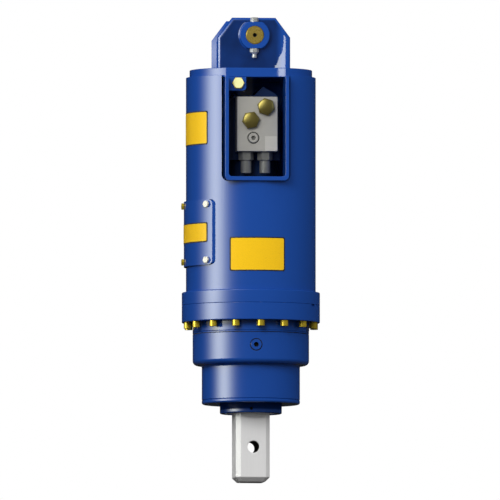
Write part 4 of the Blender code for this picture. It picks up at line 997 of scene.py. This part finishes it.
def build_seal_cover():
    """The seal's cover ring under the nose."""
    inner = COLLAR_RADIUS + 0.001
    cover = turned("seal_cover_ring", [
        (inner, COVER_HIGH), (NOSE_RADIUS - RIM_BREAK, COVER_HIGH),
        (NOSE_RADIUS, COVER_HIGH - RIM_BREAK)]
        + lower_round(NOSE_RADIUS, COVER_LOW, COVER_ROUND) + [(inner, COVER_LOW)], hollow=True)
    finished(cover, ENAMEL, "blue_paint", "seal_cover")


def build_dust_collar():
    """The collar that turns with the shaft, with its small hole."""
    collar = turned("dust_collar_ring", [(COLLAR_BORE, COLLAR_HIGH), (COLLAR_RADIUS, COLLAR_HIGH)]
                    + lower_round(COLLAR_RADIUS, COLLAR_LOW, COLLAR_ROUND)
                    + [(COLLAR_BORE, COLLAR_LOW)], hollow=True)
    hole = bar("collar_hole_cutter", 0.0035, -0.008, 0.01, FASTENER_STEPS)
    place = around(COLLAR_HOLE_AZIMUTH, COLLAR_RADIUS, COLLAR_LOW + 0.0085)
    drilled(collar, hole, place)
    finished(collar, COLLAR_ENAMEL, "blue_paint", "dust_collar", body="output")
    # Painted shade in the collar's hole and on its underside.
    paint_shade_in_hole(collar, place, 0.0037, 0.0005, HOLE_SHADE)
    underside = Matrix.Translation((0, 0, COLLAR_LOW + 0.001))
    paint_shade_in_hole(collar, underside, COLLAR_RADIUS, 0.0005, HOLE_SHADE)


def build_output_shaft():
    """The square drive end with its journal, carrier and planet pins."""
    half = SHAFT_SQUARE / 2
    square = block("output_shaft_forging", (-half, -half, SHAFT_END),
                   (half, half, COLLAR_LOW + 0.03))
    round_edges(square, lambda a, b: abs(a.z - b.z) > WELDED, SHAFT_CORNER, 1)
    round_edges(square, lambda a, b: max(a.z, b.z) < SHAFT_END + WELDED, SHAFT_END_CHAMFER, 1)
    broken_edges(square, RIM_BREAK, 3, 20)
    mouth = SHAFT_HOLE_RADIUS + RIM_BREAK
    hole = turned("shaft_hole_cutter", [
        (mouth, -half - 0.0001), (SHAFT_HOLE_RADIUS, -half + 0.0011),
        (SHAFT_HOLE_RADIUS, half - 0.0011), (mouth, half + 0.0001)], steps=HOLE_STEPS)
    level = SHAFT_END + SHAFT_HOLE_RISE
    drilled(square, hole, Matrix.Translation((0, 0, level)) @ TO_FRONT)
    settle(square, Matrix.Rotation(math.radians(SHAFT_TURN), 4, "Z"))
    carrier_low = span_of("upper_bearing_cone")[1] + FIT_GAP
    carrier_high = CASING_LOW + 0.006
    journal = turned("shaft_journal", [
        (JOURNAL_RADIUS, COLLAR_LOW + 0.002), (JOURNAL_RADIUS, carrier_low),
        (CARRIER_RADIUS, carrier_low), (CARRIER_RADIUS, carrier_high)])
    broken_edges(journal, 0.0006, 2)
    pins = []
    for number in range(1, 4):
        middle = middle_of("slow_planet_gear_%d" % number)
        pin = bar("planet_pin_%d" % number, 0.01, carrier_high - 0.002, SHAFT_TOP)
        pins.append(settle(pin, Matrix.Translation((middle.x, middle.y, 0))))
    laid_together(square, journal, *pins)
    finished(square, SHAFT_METAL, "bright_steel", "output_shaft", body="output", angle=25)
    # Painted shade inside the cross hole.
    paint_shade_in_hole(square, around(SHAFT_TURN, half, level), SHAFT_HOLE_RADIUS + FIT_GAP, RIM_BREAK, HOLE_SHADE,
           SHAFT_SQUARE - RIM_BREAK)


def build_flange_screws():
    """The sixteen socket head screws under the flange, modelled once and copied."""
    radius, height, soft = 0.0084, 0.013, 0.0009
    screw = turned("flange_screw_pattern", [
        (radius * 0.97, 0), (radius, 0.0004), (radius, height - soft)]
        + corner(radius - soft, height - soft, soft, 0, 90, 3), steps=SMALL_STEPS)
    open_up(screw)
    choose(screw, "edges", knurl_edge)
    bpy.ops.transform.resize(value=(0.975, 0.975, 1), center_override=(0, 0, 0))
    close_up(screw)
    cut(screw, sixsided("screw_socket_cutter", 0.0082, height - 0.006, height + 0.004, 0.0003))
    laid_together(screw, bar("screw_shank", 0.005, -0.042, SUNK, FASTENER_STEPS))
    for number in range(1, 17):
        node = "flange_screw_%02d" % number
        middle = middle_of(node)
        place = Matrix.Translation((middle.x, middle.y, SCREW_SEAT - FIT_GAP)) @ DOWNWARDS
        twin = copied(screw, "flange_screw_head_%02d" % number, place)
        finished(twin, YELLOW, "zinc_yellow", node)
        # Painted shade in each screw's socket.
        paint_shade_in_hole(twin, place, 0.0040, -0.0110, HOLE_SHADE)
    bpy.data.objects.remove(screw, do_unlink=True)


def knurl_edge(edge):
    """Tell whether an upright edge of the screw head is the valley between two knurls."""
    first, second = (vert.co for vert in edge.verts)
    if (first.xy - second.xy).length > WELDED:
        return False
    turn = math.degrees(math.atan2(first.y, first.x)) / (360 / SMALL_STEPS)
    return round(turn) % 2 == 0


# The motor and its valve block


def build_port_plug(node, place):
    """A port plug along a place's Z axis: a domed disc on a hexagon darkened as painted shade,
    over a washer.
    """
    hexagon, rim, foot, dome = 0.0088, 0.0163, 0.0098, 0.0036
    base = sixsided(node + "_hexagon", 0.034, 0, hexagon, 0.0016)
    washer = bar(node + "_washer", 0.0172, 0, 0.0018)
    laid_together(base, washer, bar(node + "_stub", 0.013, -0.014, SUNK))
    # The hexagon takes the darker plating as painted shade.
    finished(settle(base, place), PLUG_PAINTED_SHADE, "plug_olive", node)
    ball = (rim * rim + dome * dome) / (2 * dome)
    reach = math.degrees(math.asin(rim / ball))
    disc = turned(node + "_disc", [
        (rim, hexagon - SUNK), (rim, foot - 0.0003), (rim - 0.0003, foot)]
        + corner(0, foot + dome - ball, ball, 91 - reach, 88, 12), steps=BORE_STEPS)
    finished(settle(disc, place), PLUG_METAL, "plug_olive")


def build_valve_block():
    """The valve block with seats for its plugs, its blank plate, and what is screwed into it."""
    low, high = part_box("valve_block")
    body = block("valve_block_body", low, high)
    broken_edges(body, 0.0011)
    for node in ("port_plug_a", "port_plug_b"):
        ring = bar(node + "_seat_cutter", 0.0176, -0.0006, 0.002)
        drilled(body, ring, before(node, low.y))
    gauge_seat = before("gauge_plug", low.y)
    groove = turned("gauge_groove_cutter", [(0.0122, -0.003), (0.0139, 0.002)], steps=SMALL_STEPS)
    drilled(body, groove, gauge_seat)
    plate = block("blank_block_plate", (high.x - 0.0275, low.y - 0.0005, low.z + 0.0006),
                  (high.x - 0.0006, low.y + 0.0005, low.z + 0.0327))
    broken_edges(plate, 0.0002, 1)
    finished(plate, PLATE_METAL, "cast_aluminium")
    finished(body, ALUMINIUM, "cast_aluminium", "valve_block")
    for node, turn in (("port_plug_a", 42), ("port_plug_b", 9)):
        spin = Matrix.Rotation(math.radians(turn), 4, "Z")
        build_port_plug(node, before(node, low.y - FIT_GAP) @ spin)
    # Painted shade, in the dark plating, in the groove round the gauge plug.
    paint_shade_in_hole(body, gauge_seat, 0.0140, 0.0003, DARK)
    build_gauge_plug(gauge_seat)
    for letter in ("a", "b"):
        build_relief_valve(letter, low.z - FIT_GAP)


def build_gauge_plug(seat):
    """The round plug over the gauge port, with its hexagon socket."""
    gauge = turned("gauge_plug_body", [
        (0.009, -0.0027), (0.0104, -0.0027), (0.0104, 0.0024), (0.0098, 0.003)], steps=SMALL_STEPS)
    cut(gauge, sixsided("gauge_socket_cutter", 0.0088, -0.002, 0.006, 0.0004))
    settle(gauge, seat)
    finished(gauge, ALUMINIUM, "cast_aluminium", "gauge_plug")
    # Painted shade, in the dark plating, in the gauge plug's socket.
    paint_shade_in_hole(gauge, seat, 0.0053, -0.0026, DARK)


def build_relief_valve(letter, level):
    """A relief valve that hangs under the block: hexagon and tube."""
    node = "relief_valve_" + letter
    middle = middle_of(node)
    relief = sixsided("relief_valve_body_" + letter, 0.0285, 0, 0.019, 0.0018)
    tube = turned("relief_tube", [
        (0.01175, 0.015), (0.01175, 0.0446), (0.0112, 0.0462), (0.0094, 0.047), (0.0060, 0.047),
        (0.0055, 0.0455)], steps=SMALL_STEPS)
    laid_together(relief, tube, bar("relief_stub", 0.009, -0.012, SUNK))
    settle(relief, Matrix.Translation((middle.x, middle.y, level)) @ DOWNWARDS)
    finished(relief, DARK, "dark_steel", node)


# Blank marker patches on the hood


def wrapped_sheet(name, inside, outside, half_width, bottom, top, azimuth, rounding):
    """Cut a sheet with rounded corners from a shell round the hood, centred on an azimuth."""
    over, under = top + 0.02, bottom - 0.02
    sheet = turned(name, [(inside, over), (outside, over), (outside, under), (inside, under)],
                   hollow=True)
    outline = block(name + "_outline", (-half_width, -outside * 1.3, bottom),
                    (half_width, -inside / 3, top))
    round_edges(outline, lambda a, b: abs(a.y - b.y) > WELDED, rounding, 6)
    settle(outline, Matrix.Rotation(math.radians(azimuth), 4, "Z"))
    return combine(sheet, outline, "INTERSECT")


def build_markers():
    """The blank patches of reflective film, each on a slightly larger black backing."""
    for name, carrier, half_width, bottom, top, azimuth in MARKERS:
        radius = -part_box(carrier)[0].x
        backing = wrapped_sheet(name + "_backing", radius + 0.0001, radius + 0.0004, half_width,
                                bottom, top, azimuth, 0.004)
        finished(backing, RUBBER, "seal_rubber")
        patch = wrapped_sheet(name, radius + 0.0002, radius + 0.0006, half_width - MARKER_BORDER,
                              bottom + MARKER_BORDER, top - MARKER_BORDER, azimuth, 0.003)
        finished(patch, MARKER, "zinc_yellow")


# Finishes for the CAD nodes that stay


def dress_inner_pieces():
    """Give the inner CAD pieces their finish."""
    kept = {"motor_body": MOTOR, "motor_adapter": DARK, "seal_ring": RUBBER, "input_pinion": GEAR,
            "fast_carrier": GEAR}
    for end in ("lower", "upper"):
        for half in ("cup", "cone"):
            kept["%s_bearing_%s" % (end, half)] = GEAR
    for stage in ("slow", "fast"):
        for number in range(1, 4):
            kept["%s_planet_gear_%d" % (stage, number)] = GEAR
    for node, material in kept.items():
        materials = frame["nodes"][node].data.materials
        materials.clear()
        materials.append(material)


# The studio

# The view: angles in degrees, the width it takes in, and the middle of the picture
CAMERA_AZIMUTH = -5.4
CAMERA_ELEVATION = -3.3
CAMERA_DISTANCE = 1.4
VIEW_WIDTH = 1.087
VIEW_RIGHT = -0.0018
VIEW_UP = -0.4621
FLOOR_HEIGHT = -1.45

# The lamps: name, azimuth, elevation, size and power
LAMP_DISTANCE = 2.6
LAMPS = (
    ("key_lamp", -25.4, 22, 1.2, 41),
    ("fill_lamp", 75, 20, 1.2, 7),
    ("back_lamp", 174.6, 15, 1.4, 26))

# What shows in the gloss: a card by the ear, a tall strip, a soft ceiling light and the room
EAR_CARD_GLOW = 6.2
EAR_CARD_DEPTH = -1.08
EAR_CARD = (
    (0.1402, -0.0360), (0.1553, -0.0360), (0.1553, -0.0140), (0.1650, -0.0140), (0.1670, 0.0410),
    (0.1670, 0.0600), (0.1625, 0.0600), (0.1628, 0.0410), (0.1583, 0.0220), (0.1520, 0.0123),
    (0.1484, 0.0015), (0.1457, -0.0058), (0.1420, -0.0066), (0.1414, -0.0140), (0.1402, -0.0140))
STRIP_TINT = (1.0, 1.04, 0.95)
STRIP_AZIMUTH = -71.4
STRIP_SPREAD = 15.0
STRIP_ELEVATION = 13
STRIP_RISE = 10
STRIP_GLOW = 9.9
CEILING_AZIMUTH = -40
CEILING_ELEVATION = 38
CEILING_SPREAD = 14
CEILING_GLOW = 3.0
ROOM_GLOW = 0.015
FRONT_GLOW = 0.031

# Even light on the object, and how much more of it comes from above
AMBIENT = 0.50
AMBIENT_RISE = 0.45


def direction(azimuth, elevation):
    """Return the unit vector from the object towards an azimuth and elevation in degrees."""
    turn, rise = math.radians(azimuth), math.radians(elevation)
    level = math.cos(rise)
    return Vector((math.sin(turn) * level, -math.cos(turn) * level, math.sin(rise)))


def stand_up(name, data, spot, back):
    """Put a camera or lamp at a spot, with its back turned to a direction."""
    thing = bpy.data.objects.new(name, data)
    bpy.context.scene.collection.objects.link(thing)
    thing.location = spot
    thing.rotation_mode = "QUATERNION"
    thing.rotation_quaternion = (-back).to_track_quat("-Z", "Y")
    return thing


def set_camera():
    """A flat view from the left and slightly below."""
    data = bpy.data.cameras.new("view")
    data.type = "ORTHO"
    data.ortho_scale = VIEW_WIDTH
    back = direction(CAMERA_AZIMUTH, CAMERA_ELEVATION)
    turn = math.radians(CAMERA_AZIMUTH)
    right = Vector((math.cos(turn), math.sin(turn), 0))
    spot = right * VIEW_RIGHT + back.cross(right) * VIEW_UP + back * CAMERA_DISTANCE
    bpy.context.scene.camera = stand_up("view", data, spot, back)


def add_lamp(name, azimuth, elevation, size, power):
    """A square soft lamp that looks at the middle of the drive."""
    data = bpy.data.lights.new(name, "AREA")
    data.size = size
    data.energy = power
    back = direction(azimuth, elevation)
    middle = Vector((0, 0, (CAD_LOW.z + CAD_HIGH.z) / 2))
    stand_up(name, data, middle + back * LAMP_DISTANCE, back).visible_glossy = False


def set_world():
    """White behind the object, even light on it, and one tall soft strip in its gloss."""
    world = bpy.data.worlds.new("studio")
    world.use_nodes = True
    bpy.context.scene.world = world
    studio = Studio(world.node_tree)
    looks = studio.node("ShaderNodeTexCoord", output="Generated")
    height = studio.along("Z", looks)
    strip = studio.bell(studio.angle_to(studio.levelled(looks), direction(STRIP_AZIMUTH, 0)),
                        STRIP_SPREAD)
    rise = height.worked("ARCSINE")
    band = studio.bell(rise - math.radians(STRIP_ELEVATION), STRIP_RISE)
    ceiling = studio.bell(studio.angle_to(looks, direction(CEILING_AZIMUTH, CEILING_ELEVATION)),
                          CEILING_SPREAD)
    front = studio.facing(looks, (0, -1, 0))
    glow = (strip * band * STRIP_GLOW + ceiling * CEILING_GLOW + FRONT_GLOW * (1 + front)
            + ROOM_GLOW)
    gloss = studio.node("ShaderNodeLightPath", output="Is Glossy Ray")
    seen = studio.node("ShaderNodeLightPath", output="Is Camera Ray")
    ambient = AMBIENT + AMBIENT_RISE * height
    strength = seen + (1 - seen) * (gloss * glow + (1 - gloss) * ambient)
    colour = studio.tint(gloss, (1, 1, 1), STRIP_TINT)
    shine = studio.node("ShaderNodeBackground", {}, {"Color": colour, "Strength": strength})
    studio.feed(studio.tree.nodes.new("ShaderNodeOutputWorld").inputs["Surface"], shine)


class Studio(Finish):
    """The world's nodes, written with the same expressions as the finishes."""

    def __init__(self, tree):
        self.tree = tree
        self.tree.nodes.clear()

    def levelled(self, looks):
        """Return a direction without its height, at length 1."""
        flat = self.node("ShaderNodeVectorMath", {"operation": "MULTIPLY"}, {
            0: looks, 1: (1, 1, 0)})
        return self.node("ShaderNodeVectorMath", {"operation": "NORMALIZE"}, {0: flat})

    def facing(self, looks, towards):
        """Return how much a direction faces a fixed one, from -1 to 1."""
        return self.node("ShaderNodeVectorMath", {"operation": "DOT_PRODUCT"}, {
            0: looks, 1: towards}, output="Value")

    def angle_to(self, looks, towards):
        """Return the angle in radians between a direction and a fixed one."""
        return self.facing(looks, towards).worked("ARCCOSINE")

    def bell(self, angle, spread):
        """Return 1 at no angle, falling softly with this spread in degrees."""
        off = angle / math.radians(spread)
        return (off * off * -0.5).worked("EXPONENT")


def set_floor():
    """A plain pale floor under the hanging drive, which throws little light back up."""
    pale, dark = (0.86, 0.86, 0.86), (0.03, 0.03, 0.03)
    clear_bench()
    bpy.ops.mesh.primitive_plane_add(size=12, location=(0, 0, FLOOR_HEIGHT))
    floor = named("studio_floor")
    finish = Finish("pale_floor", pale, 0.8, Specular_IOR_Level=0.0)
    seen = finish.node("ShaderNodeLightPath", output="Is Camera Ray")
    finish.paint("Base Color", finish.tint(seen, dark, pale))
    floor.data.materials.append(finish.material)


def set_card(name, glow, depth, corners):
    """A glowing card beside the camera's view that only shows in gloss."""
    clear_bench()
    bpy.ops.mesh.primitive_circle_add(vertices=len(corners), radius=0.1, fill_type="NGON")
    card = named(name)
    for vertex, (across, up) in zip(card.data.vertices, corners):
        vertex.co = (across, depth, up)
    finish = Finish(name + "_glow", (0, 0, 0), 1.0, Emission_Color=(*STRIP_TINT, 1.0),
                    Emission_Strength=glow)
    card.data.materials.append(finish.material)
    card.visible_camera = False
    card.visible_diffuse = False
    card.visible_shadow = False


build_top_plate()
build_ear("front_ear_plate", "front_ear", -1)
build_ear("rear_ear_plate", "rear_ear", 1)
build_hanger_pin()
build_lock_bolt()
build_grease_nipple()
build_hood_tube()
build_window_frame()
build_lug_bolt()
build_access_panel()
build_hood_flange()
build_casing()
build_flange_screws()
build_bearing_housing()
build_seal_cover()
build_dust_collar()
build_output_shaft()
build_valve_block()
build_markers()
dress_inner_pieces()
clear_bench()
set_camera()
set_world()
set_floor()
set_card("ear_card", EAR_CARD_GLOW, EAR_CARD_DEPTH, EAR_CARD)
for lamp in LAMPS:
    add_lamp(*lamp)
bpy.context.scene.view_settings.view_transform = "Standard"
